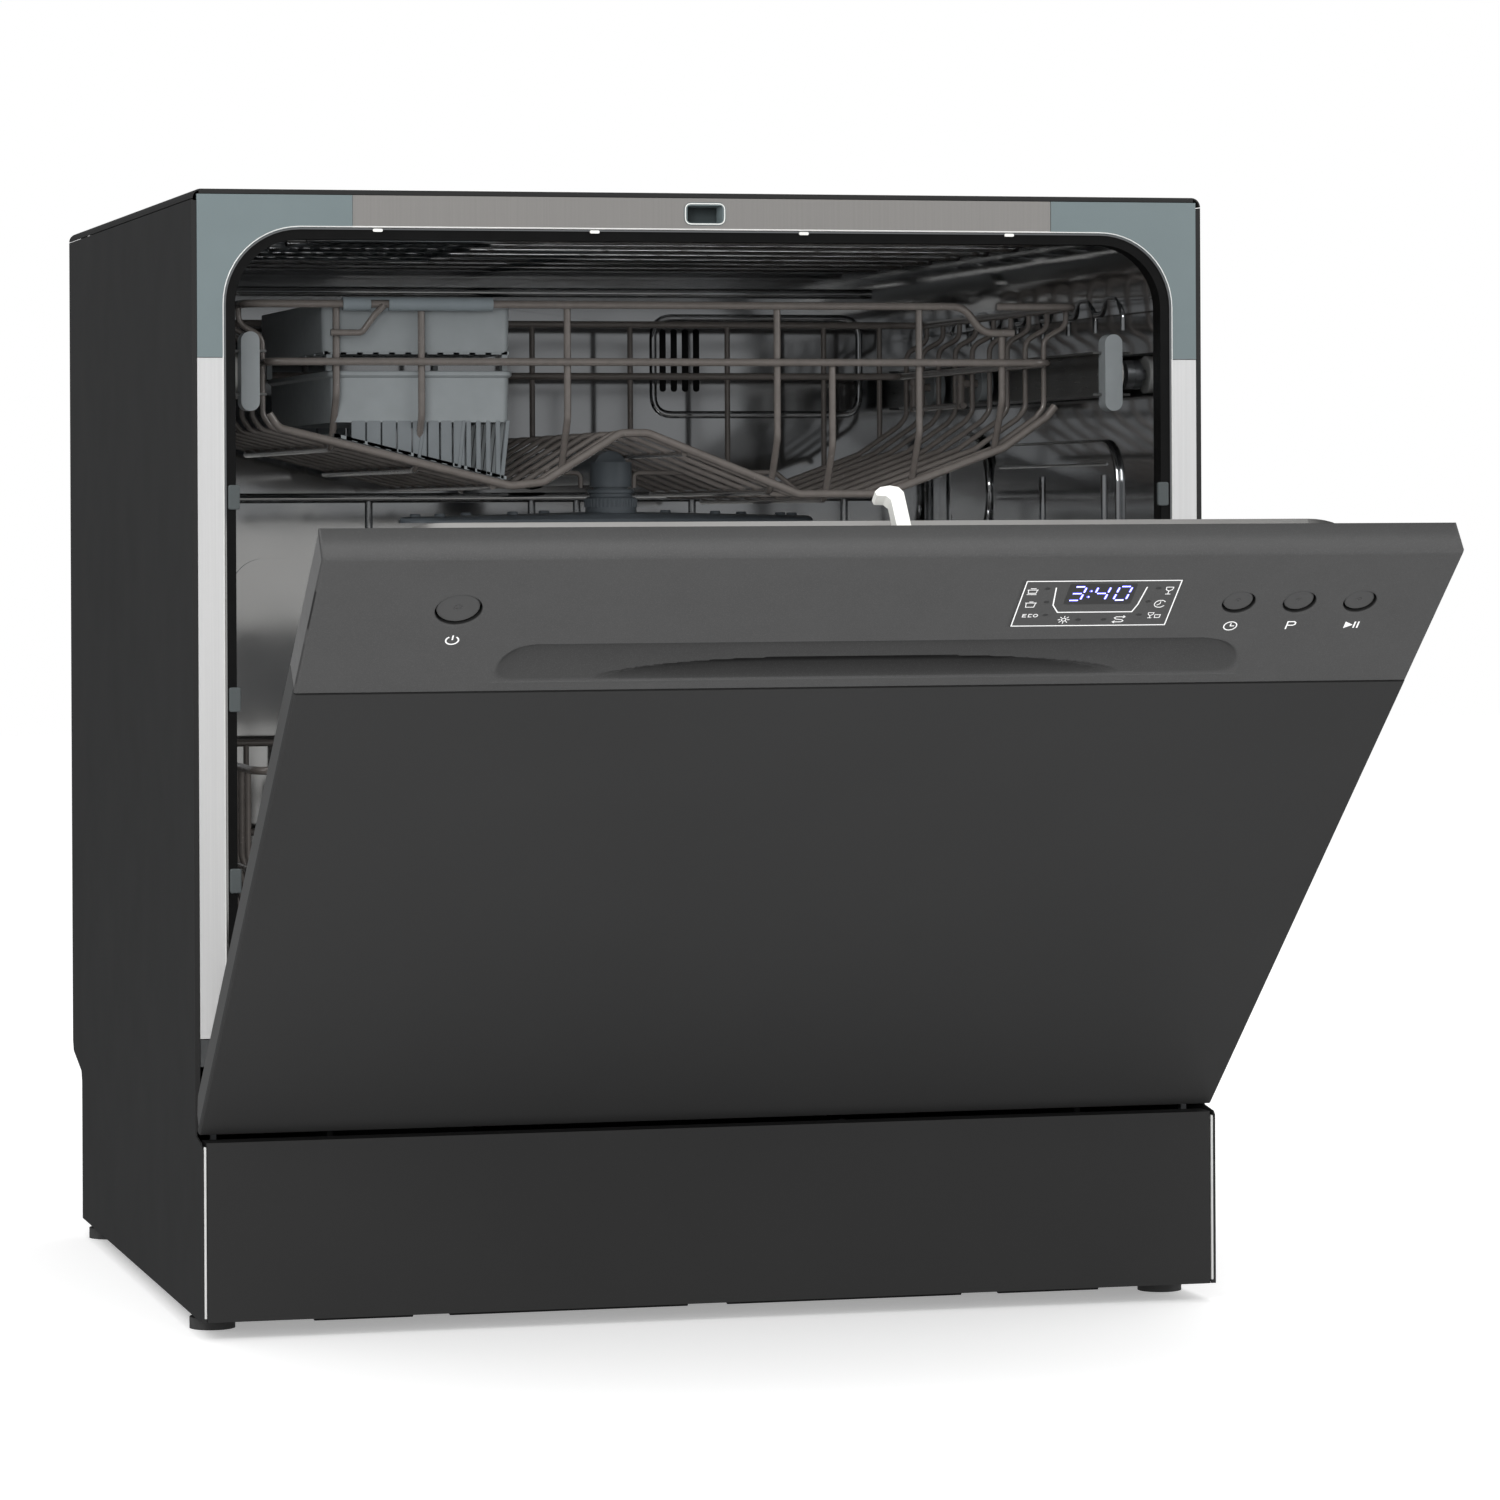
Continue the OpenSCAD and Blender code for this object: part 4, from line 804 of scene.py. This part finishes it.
ARM = math.radians(27)
blade("upper_arm_blade", 150, 420.5, 6.6, ARM, M["arm"], "upper_arm")
turned("upper_arm_hub", 0, 0, [(10.2, 439.6), (12.9, 439.6), (13.4, 439.1), (13.4, 437.6), (12.2, 437.2), (12.2, 435.4), (14.0, 435.0), (14.6, 434.4), (14.6, 426.2), (16.4, 425.6), (16.9, 424.9), (16.9, 420.6), (10.2, 420.6)], M["arm"], "upper_arm")
ribs = []
for k in range(40):
    a = 2 * math.pi * k / 40
    ribs.append((circle_loop(14.6 * math.cos(a), 14.6 * math.sin(a), 0.55, 6), 429.5, 434.2, "z"))
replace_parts(prisms("upper_arm_nut_ribs", ribs, M["arm"], "upper_arm", axis="z"), "upper_spray_arm")

# ------------------------------------------------------------------ control panel face: a fine relief
S0, S1, HW = 372.7, 474.5, 275.0
FL_K = 0.29   # slope of the recess floor, shallow at the lower lip


def smooth(a, b, t):
    t = max(0.0, min(1.0, (t - a) / (b - a)))
    return t * t * (3 - 2 * t)


def recess_half(s):
    """left and right ends of the recess at height s, as drawn on the face."""
    t = max(0.0, min(1.0, (s - 381.0) / 28.5))
    bulge = math.sqrt(max(0.0, 1 - t ** 2.6))
    left = -163.0 - 20.5 * bulge ** 0.9
    right = 157.0 + 28.0 * bulge ** 0.9
    return left, right


def depth(x, s):
    """depth of the face below the front plane, in mm."""
    d = 0.0
    if 379.9 < s < 381.0:
        l, r = recess_half(s)
        if l < x < r:
            return -0.16 * math.sin(math.pi * (s - 379.9) / 1.1)
    # recess
    if 381.0 < s < 409.5:
        l, r = recess_half(s)
        if l < x < r:
            floor_d = (s - 381.0) * FL_K + 0.25
            # straight inner edges of the end walls
            tl = (x - l) / 12.0
            tr = (r - x) / 13.0
            e = min(1.0, tl, tr)
            d = floor_d * (1 - (1 - max(0.0, e)) ** 1.5)
            # finger scoop behind the lip
            c = (x + 4.0) / 129.0
            if abs(c) < 1:
                top = 382.2 + 10.8 * (1 - abs(c) ** 2.6) ** 0.62
                if s < top:
                    q = (s - 381.6) / max(0.3, top - 381.6)
                    q = max(0.0, min(1.0, q))
                    fade = (1 - abs(c) ** 4)
                    prof = min(1.0, q / 0.18) * math.sqrt(max(0.0, 1 - (max(0.0, q - 0.30) / 0.70) ** 2))
                    d = d + fade * 9.5 * prof
    return d


HOLES = [(-206.5, 435.8, 11.0), (172.0, 436.2, 8.1), (202.6, 436.2, 8.1), (233.2, 436.2, 8.1)]
DISP = (61.8, 419.4, 139.2, 455.2)


def well(r):
    return r + 2.6


def face_grid():
    xs = []
    x = -HW
    while x < HW - 1e-6:
        xs.append(x)
        near_end = (-190 < x < -150) or (145 < x < 192)
        edge = x < -HW + 2 or x > HW - 3
        button = any(abs(x - c) < well(r) + 1 for c, q, r in HOLES)
        x += 0.5 if edge else (0.9 if near_end or button else 2.2)
    xs.append(HW)
    ss = []
    s = S0
    while s < S1 - 1e-6:
        ss.append(s)
        if s < S0 + 2 or s > S1 - 2.9:
            s += 0.4
        elif 380 < s < 384.5 or 407 < s < 411:
            s += 0.3
        elif s < 412:
            s += 0.6
        else:
            s += 1.2
    ss.append(S1)
    nx, ns = [DISP[0], DISP[2]], [DISP[1], DISP[3]]
    for cx, cs, r in HOLES:
        nx += [cx - well(r), cx + well(r)]
        ns += [cs - well(r), cs + well(r)]
    nx, ns = sorted(set(nx)), sorted(set(ns))
    xs = sorted([x for x in xs if all(abs(x - q) > 0.3 for q in nx)] + nx)
    ss = sorted([v for v in ss if all(abs(v - q) > 0.3 for q in ns)] + ns)
    return xs, ss


def edge_round(x, s, r=1.4):
    """how far the face drops near its outer edges."""
    d = min(HW - abs(x), s - S0 if s - S0 < r else 99, S1 - s)
    if d >= r:
        return 0.0
    return r - math.sqrt(max(0.0, r * r - (r - d) ** 2))


def build_face():
    xs, ss = face_grid()
    bm = bmesh.new()
    grid = [[bm.verts.new(Vector((x, -8.1 + depth(x, s) + edge_round(x, s), s))) for x in xs] for s in ss]
    for j in range(len(ss) - 1):
        for i in range(len(xs) - 1):
            cx, cs = (xs[i] + xs[i + 1]) / 2, (ss[j] + ss[j + 1]) / 2
            if DISP[0] < cx < DISP[2] and DISP[1] < cs < DISP[3]:
                continue
            if any(abs(cx - hx) < well(r) and abs(cs - hs) < well(r) for hx, hs, r in HOLES):
                continue
            bm.faces.new((grid[j][i], grid[j][i + 1], grid[j + 1][i + 1], grid[j + 1][i]))
    # round wells for the buttons
    for hx, hs, r in HOLES:
        i0, i1 = xs.index(hx - well(r)), xs.index(hx + well(r))
        j0, j1 = ss.index(hs - well(r)), ss.index(hs + well(r))
        loop = [grid[j0][i] for i in range(i0, i1)] + [grid[j][i1] for j in range(j0, j1)] + \
               [grid[j1][i] for i in range(i1, i0, -1)] + [grid[j][i0] for j in range(j1, j0, -1)]
        ring_y = [(r + 1.3, 0.0), (r + 0.75, 0.03), (r + 0.4, 0.14), (r + 0.15, 0.36), (r + 0.03, 0.65), (r, 1.0), (r, 5.0)]
        last = loop
        for rr_, dy in ring_y:
            new = []
            for v in loop:
                a = math.atan2(v.co.z - hs, v.co.x - hx)
                new.append(bm.verts.new(Vector((hx + rr_ * math.cos(a), -8.1 + dy, hs + rr_ * math.sin(a)))))
            n = len(loop)
            for k in range(n):
                bm.faces.new((last[k], last[(k + 1) % n], new[(k + 1) % n], new[k]))
            last = new
    # skirts
    def back_y(s):
        return -5.6 if s < S1 - 2.6 else 9.9
    nx_, ns_ = len(xs), len(ss)
    left = [bm.verts.new(Vector((-HW, back_y(s), s))) for s in ss]
    right = [bm.verts.new(Vector((HW, back_y(s), s))) for s in ss]
    top = [left[-1]] + [bm.verts.new(Vector((x, 9.9, S1))) for x in xs[1:-1]] + [right[-1]]
    bot = [left[0]] + [bm.verts.new(Vector((x, -5.6, S0))) for x in xs[1:-1]] + [right[0]]
    for j in range(ns_ - 1):
        bm.faces.new((grid[j][-1], right[j], right[j + 1], grid[j + 1][-1]))
        bm.faces.new((grid[j + 1][0], left[j + 1], left[j], grid[j][0]))
    for i in range(nx_ - 1):
        bm.faces.new((grid[-1][i], grid[-1][i + 1], top[i + 1], top[i]))
        bm.faces.new((grid[0][i + 1], grid[0][i], bot[i], bot[i + 1]))
    me = bpy.data.meshes.new("control_face")
    bm.to_mesh(me)
    bm.free()
    for v in me.vertices:
        v.co = DOOR @ (v.co * MM)
    for f in me.polygons:
        f.use_smooth = True
    o = bpy.data.objects.new("control_face", me)
    bpy.context.scene.collection.objects.link(o)
    me.materials.append(M["console"])
    me.set_sharp_from_angle(angle=math.radians(38))
    md = o.modifiers.new("wall", "SOLIDIFY")
    md.thickness = 1.5 * MM
    md.offset = -1.0
    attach(o, "door")
    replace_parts(o, "control_panel")
    return o


# painted shade and painted highlight on the console face
face_shade(M["console"])
build_face()


def lathe_door(name, cx, cs, profile, mat, body, n=64, marks=()):
    """A turned piece on the door: profile is (radius, y), from the middle of the face out and back."""
    verts, faces = [], []
    verts.append((cx, profile[0][1], cs))
    for r, y in profile[1:]:
        for k in range(n):
            a = 2 * math.pi * k / n
            verts.append((cx + r * math.cos(a), y, cs + r * math.sin(a)))
    for k in range(n):
        faces.append((0, 1 + k, 1 + (k + 1) % n))
    m = len(profile) - 1
    for j in range(m - 1):
        for k in range(n):
            a, b = 1 + j * n + k, 1 + j * n + (k + 1) % n
            faces.append((a, a + n, b + n, b))
    faces.append(tuple(1 + (m - 1) * n + k for k in range(n))[::-1])
    return add_mesh(name, verts, faces, mat, body, door=True, smooth=True)


def button(name, cx, cs, r, body, node):
    y0 = -6.6
    prof = [(0, y0 + 0.42)]
    for k in range(1, 15):
        t = k / 14
        prof.append(((r - 0.75) * t, y0 + 0.42 * (1 - t * t)))
    for k in range(1, 7):
        a = math.radians(15 * k)
        prof.append((r - 0.75 + 0.75 * math.sin(a), y0 + 0.75 - 0.75 * math.cos(a)))
    prof += [(r, -4.5), (r, -2.3)]
    # small raised mark in the middle
    mark = 1.5 if r > 9 else 0.8
    inner = [(0, y0 + 0.42), (mark - 0.45, y0 + 0.42), (mark - 0.2, y0 + 0.12), (mark + 0.2, y0 + 0.12), (mark + 0.45, y0 + 0.42)]
    prof = inner + [q for q in prof if q[0] > mark + 0.6]
    o = lathe_door(name, cx, cs, prof, M["button"], body)
    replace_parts(o, node)
    o.data.set_sharp_from_angle(angle=math.radians(50))
    return o


button("power_key", -206.5, 435.8, 10.3, "power", "power_button")
button("delay_key", 172.0, 436.2, 7.4, "delay", "delay_button")
button("program_key", 202.6, 436.2, 7.4, "program", "program_button")
button("start_key", 233.2, 436.2, 7.4, "start", "start_button")

# ------------------------------------------------------------------ printed signs on the control panel
FY = -8.1


def arc_pts(cx, cz, r, a0, a1, n=16, sx=1.0):
    return [(cx + sx * r * math.cos(math.radians(a0 + (a1 - a0) * i / n)), cz + r * math.sin(math.radians(a0 + (a1 - a0) * i / n))) for i in range(n + 1)]


T = 0.10   # thickness of the print
signs = []


def line(points, w=0.45):
    for lp in stroke(points, w):
        signs.append((lp, FY - T, FY + 0.02))


def ring(cx, cz, r, w=0.45, a0=0, a1=360, sx=1.0, n=20):
    line(arc_pts(cx, cz, r, a0, a1, n, sx), w)


# display outline
x0, z0, x1, z1 = 62.4, 420.0, 138.8, 454.4
line([(x0, z0), (x1, z0)], 0.55)
line([(x0, z1), (x1, z1)], 0.55)
line([(x0, z0 - 0.27), (x0, z1 + 0.27)], 0.55)
line([(x1, z0 - 0.27), (x1, z1 + 0.27)], 0.55)
# trough round the digits
line([(77.8, 449.5), (79.4, 436.0), (82.9, 430.4), (119.8, 430.4), (121.4, 436.0), (122.8, 449.5)], 0.6)
# power
ring(-206.2, 413.3, 3.0, 0.7, 125, 415, 1.0)
line([(-206.2, 413.6), (-206.2, 417.0)], 0.7)
# delay clock
ring(172.3, 418.5, 3.2, 0.55)
line([(172.3, 420.6), (172.3, 418.5), (174.3, 418.5)], 0.5)
# letter P
line([(200.9, 415.6), (200.9, 421.4), (204.0, 421.4), (204.9, 420.7), (204.9, 419.3), (204.0, 418.6), (201.0, 418.6)], 0.65)
# play and pause
signs.append(([(230.3, 416.0), (234.4, 418.5), (230.3, 421.0)], FY - T, FY + 0.02))
for x in (235.3, 237.1):
    line([(x, 416.1), (x, 420.9)], 0.75)
# programme signs, left: pot on a fire, pot, letters
cx, cz = 66.8, 446.8
line([(cx - 2.2, cz + 0.9), (cx - 1.9, cz - 1.5), (cx + 1.9, cz - 1.5), (cx + 2.2, cz + 0.9)], 0.35)
line([(cx - 2.7, cz + 1.0), (cx + 2.7, cz + 1.0)], 0.35)
line([(cx - 1.4, cz + 2.0), (cx + 1.4, cz + 2.0)], 0.35)
line([(cx - 2.4, cz - 2.5), (cx + 2.4, cz - 2.5)], 0.35)
cx, cz = 68.1, 436.5
line([(cx - 2.3, cz + 1.2), (cx - 2.0, cz - 1.9), (cx + 2.0, cz - 1.9), (cx + 2.3, cz + 1.2)], 0.35)
line([(cx - 2.8, cz + 1.3), (cx + 2.8, cz + 1.3)], 0.35)
line([(cx - 1.0, cz + 2.1), (cx + 1.0, cz + 2.1)], 0.35)
cx, cz = 69.9, 428.0
line([(cx - 1.9, cz + 1.0), (cx - 3.6, cz + 1.0), (cx - 3.6, cz - 1.0), (cx - 1.9, cz - 1.0)], 0.36)
line([(cx - 3.6, cz), (cx - 2.1, cz)], 0.3)
line([(cx + 0.9, cz + 1.0), (cx - 0.7, cz + 1.0), (cx - 0.7, cz - 1.0), (cx + 0.9, cz - 1.0)], 0.36)
ring(cx + 2.7, cz, 1.05, 0.34, n=12)
# bottom signs: sun, salt arrow
cx, cz = 87.4, 424.6
ring(cx, cz, 1.1, 0.4, n=12)
for k in range(8):
    a = math.radians(45 * k)
    line([(cx + 1.7 * math.cos(a), cz + 1.7 * math.sin(a)), (cx + 2.9 * math.cos(a), cz + 2.9 * math.sin(a))], 0.4)
cx, cz = 114.8, 424.5
line([(cx + 2.6, cz + 2.0), (cx - 1.6, cz + 2.0), (cx - 2.4, cz + 1.2), (cx - 1.6, cz + 0.3), (cx + 1.6, cz - 0.3), (cx + 2.4, cz - 1.1), (cx + 1.6, cz - 1.9), (cx - 2.6, cz - 1.9)], 0.4)
line([(cx + 1.7, cz + 2.9), (cx + 2.8, cz + 2.0), (cx + 1.7, cz + 1.1)], 0.35)
line([(cx - 1.7, cz - 1.0), (cx - 2.8, cz - 1.9), (cx - 1.7, cz - 2.8)], 0.35)
# right signs: goblet, clock, goblet and cup
cx, cz = 134.3, 446.6
line([(cx - 1.8, cz + 2.6), (cx - 1.5, cz + 0.6), (cx, cz - 0.4), (cx + 1.5, cz + 0.6), (cx + 1.8, cz + 2.6)], 0.38)
line([(cx - 1.8, cz + 2.6), (cx + 1.8, cz + 2.6)], 0.38)
line([(cx, cz - 0.4), (cx, cz - 2.6)], 0.38)
line([(cx - 1.3, cz - 2.7), (cx + 1.3, cz - 2.7)], 0.38)
cx, cz = 132.4, 436.4
ring(cx, cz, 2.7, 0.4, 30, 330)
line([(cx, cz + 1.8), (cx, cz), (cx - 1.4, cz - 1.0)], 0.36)
cx, cz = 131.6, 427.5
line([(cx - 3.2, cz + 2.0), (cx - 2.9, cz + 0.5), (cx - 1.8, cz - 0.3), (cx - 0.7, cz + 0.5), (cx - 0.4, cz + 2.0), (cx - 3.2, cz + 2.0)], 0.32)
line([(cx - 1.8, cz - 0.3), (cx - 1.8, cz - 2.0)], 0.32)
line([(cx - 2.8, cz - 2.0), (cx - 0.8, cz - 2.0)], 0.32)
line([(cx + 0.4, cz + 0.4), (cx + 0.6, cz - 1.8), (cx + 3.0, cz - 1.8), (cx + 3.2, cz + 0.4), (cx + 0.4, cz + 0.4)], 0.32)


# ------------------------------------------------------------------ camera, light, floor
cam_data = bpy.data.cameras.new("camera")
cam = bpy.data.objects.new("camera", cam_data)
bpy.context.scene.collection.objects.link(cam)
cam_data.lens = 136.88
cam_data.sensor_width = 36.0
cam_data.sensor_fit = "HORIZONTAL"
cam_data.shift_y = -0.1558
cam_data.clip_end = 50
yaw = math.radians(14.286)
roll = math.radians(0.273)
cam.matrix_world = Matrix.Translation((-0.7239, -3.1636, 0.4239)) @ Matrix.Rotation(-yaw, 4, "Z") @ Matrix.Rotation(math.pi / 2, 4, "X") @ Matrix.Rotation(-roll, 4, "Z")
bpy.context.scene.camera = cam

w = bpy.data.worlds.new("studio")
bpy.context.scene.world = w
w.use_nodes = True
wn = w.node_tree
bg = wn.nodes["Background"]
bg.inputs["Color"].default_value = (1, 1, 1, 1)
bg.inputs["Strength"].default_value = 1.0
dim = wn.nodes.new("ShaderNodeBackground")
dim.inputs["Color"].default_value = (0.96, 0.98, 1.0, 1)
dim.inputs["Strength"].default_value = 0.23
lp = wn.nodes.new("ShaderNodeLightPath")
wm = wn.nodes.new("ShaderNodeMixShader")
first = wn.nodes.new("ShaderNodeMath")
first.operation = "LESS_THAN"
first.inputs[1].default_value = 0.5
both = wn.nodes.new("ShaderNodeMath")
both.operation = "MULTIPLY"
wn.links.new(lp.outputs["Diffuse Depth"], first.inputs[0])
wn.links.new(first.outputs["Value"], both.inputs[0])
wn.links.new(lp.outputs["Is Glossy Ray"], both.inputs[1])
wn.links.new(both.outputs["Value"], wm.inputs["Fac"])
soft = wn.nodes.new("ShaderNodeBackground")
soft.inputs["Color"].default_value = (1, 1, 1, 1)
soft.inputs["Strength"].default_value = 0.72
wc = wn.nodes.new("ShaderNodeMixShader")
wn.links.new(lp.outputs["Is Camera Ray"], wc.inputs["Fac"])
wn.links.new(soft.outputs["Background"], wc.inputs[1])
wn.links.new(bg.outputs["Background"], wc.inputs[2])
wn.links.new(wc.outputs["Shader"], wm.inputs[1])
wn.links.new(dim.outputs["Background"], wm.inputs[2])
wn.links.new(wm.outputs["Shader"], wn.nodes["World Output"].inputs["Surface"])
bpy.context.scene.view_settings.view_transform = "Standard"
bpy.context.scene.view_settings.look = "None"

fl_me = bpy.data.meshes.new("floor")
L = 8.0
fl_me.from_pydata([(-L, -L, 0), (L, -L, 0), (L, L, 0), (-L, L, 0)], [], [(0, 1, 2, 3)])
fl = bpy.data.objects.new("floor", fl_me)
bpy.context.scene.collection.objects.link(fl)
fl_me.materials.append(M["floor"])
fp = [n for n in M["floor"].node_tree.nodes if n.type == "BSDF_PRINCIPLED"][0]
fp.inputs["Emission Color"].default_value = (1, 1, 1, 1)
fp.inputs["Emission Strength"].default_value = 0.32
fl.visible_glossy = False


def area(name, loc, target, size, power, size_y=None):
    d = bpy.data.lights.new(name, "AREA")
    d.energy = power
    d.shape = "RECTANGLE"
    d.size = size
    d.size_y = size_y or size
    o = bpy.data.objects.new(name, d)
    bpy.context.scene.collection.objects.link(o)
    o.location = loc
    o.rotation_euler = (Vector(target) - Vector(loc)).to_track_quat("-Z", "Y").to_euler()
    return o


area("key", (-1.7, -2.6, 1.9), (0, -0.1, 0.35), 1.3, 34)
area("fill", (2.2, -2.2, 1.3), (0, 0, 0.4), 1.2, 14)
area("top", (0.2, -0.6, 2.6), (0, -0.1, 0.3), 1.6, 18)
low = area("front", (-0.95, -3.5, 0.75), (-0.1, 0, 0.5), 0.7, 30)
low.visible_glossy = False

# display, print
prisms("panel_print", signs, M["print"], "door", door=True)

# digits 3:40, seven-segment, slanted a little
SEG = {"a": ((0, 2), (1, 2)), "b": ((1, 2), (1, 1)), "c": ((1, 1), (1, 0)), "d": ((0, 0), (1, 0)),
       "e": ((0, 0), (0, 1)), "f": ((0, 1), (0, 2)), "g": ((0, 1), (1, 1))}
SHOW = {"3": "abgcd", "4": "fgbc", "0": "abcdef"}


def digit(ch, cx, cz, w=6.2, h=10.4, t=1.25, slant=0.1):
    out = []
    for k in SHOW[ch]:
        (ax, az), (bx_, bz) = SEG[k]
        a = (cx + ax * w, cz + az * h / 2)
        b = (cx + bx_ * w, cz + bz * h / 2)
        g = 0.16
        a2 = (a[0] + (b[0] - a[0]) * g, a[1] + (b[1] - a[1]) * g)
        b2 = (b[0] + (a[0] - b[0]) * g, b[1] + (a[1] - b[1]) * g)
        a2 = (a2[0] + (a2[1] - cz) * slant, a2[1])
        b2 = (b2[0] + (b2[1] - cz) * slant, b2[1])
        out += stroke([a2, b2], t)
    return out


pane = prisms("digit_pane", [(round_loop(84.2, 436.4, 117.6, 452.2, 1.2, 5), FY - 0.03, FY + 0.02)], M["pane"], "door", door=True)
dg, core = [], []
for ch, cx in (("3", 85.6), ("4", 97.6), ("0", 108.2)):
    for lp in digit(ch, cx, 439.6):
        dg.append((lp, FY - 0.09, FY + 0.02))
    for lp in digit(ch, cx, 439.6, t=0.5):
        core.append((lp, FY - 0.13, FY - 0.03))
for z in (442.2, 446.6):
    dg.append((circle_loop(95.0 + (z - 439.6) * 0.1, z, 0.8, 14), FY - 0.06, FY + 0.02))
    core.append((circle_loop(95.2 + (z - 439.6) * 0.1, z, 0.35, 10), FY - 0.1, FY - 0.03))
prisms("digits", dg, M["digit"], "door", door=True)
prisms("digit_cores", core, M["digit_core"], "door", door=True)
leds = []
for x, z in [(73.6, 448.6), (75.6, 438.4), (77.4, 428.3), (94.6, 424.5), (107.3, 424.5), (124.0, 428.0), (126.0, 438.2), (128.6, 448.4)]:
    leds.append((circle_loop(x, z, 0.95, 16, 1.5), FY - 0.05, FY + 0.02))
prisms("led_spots", leds, M["led_off"], "door", door=True)
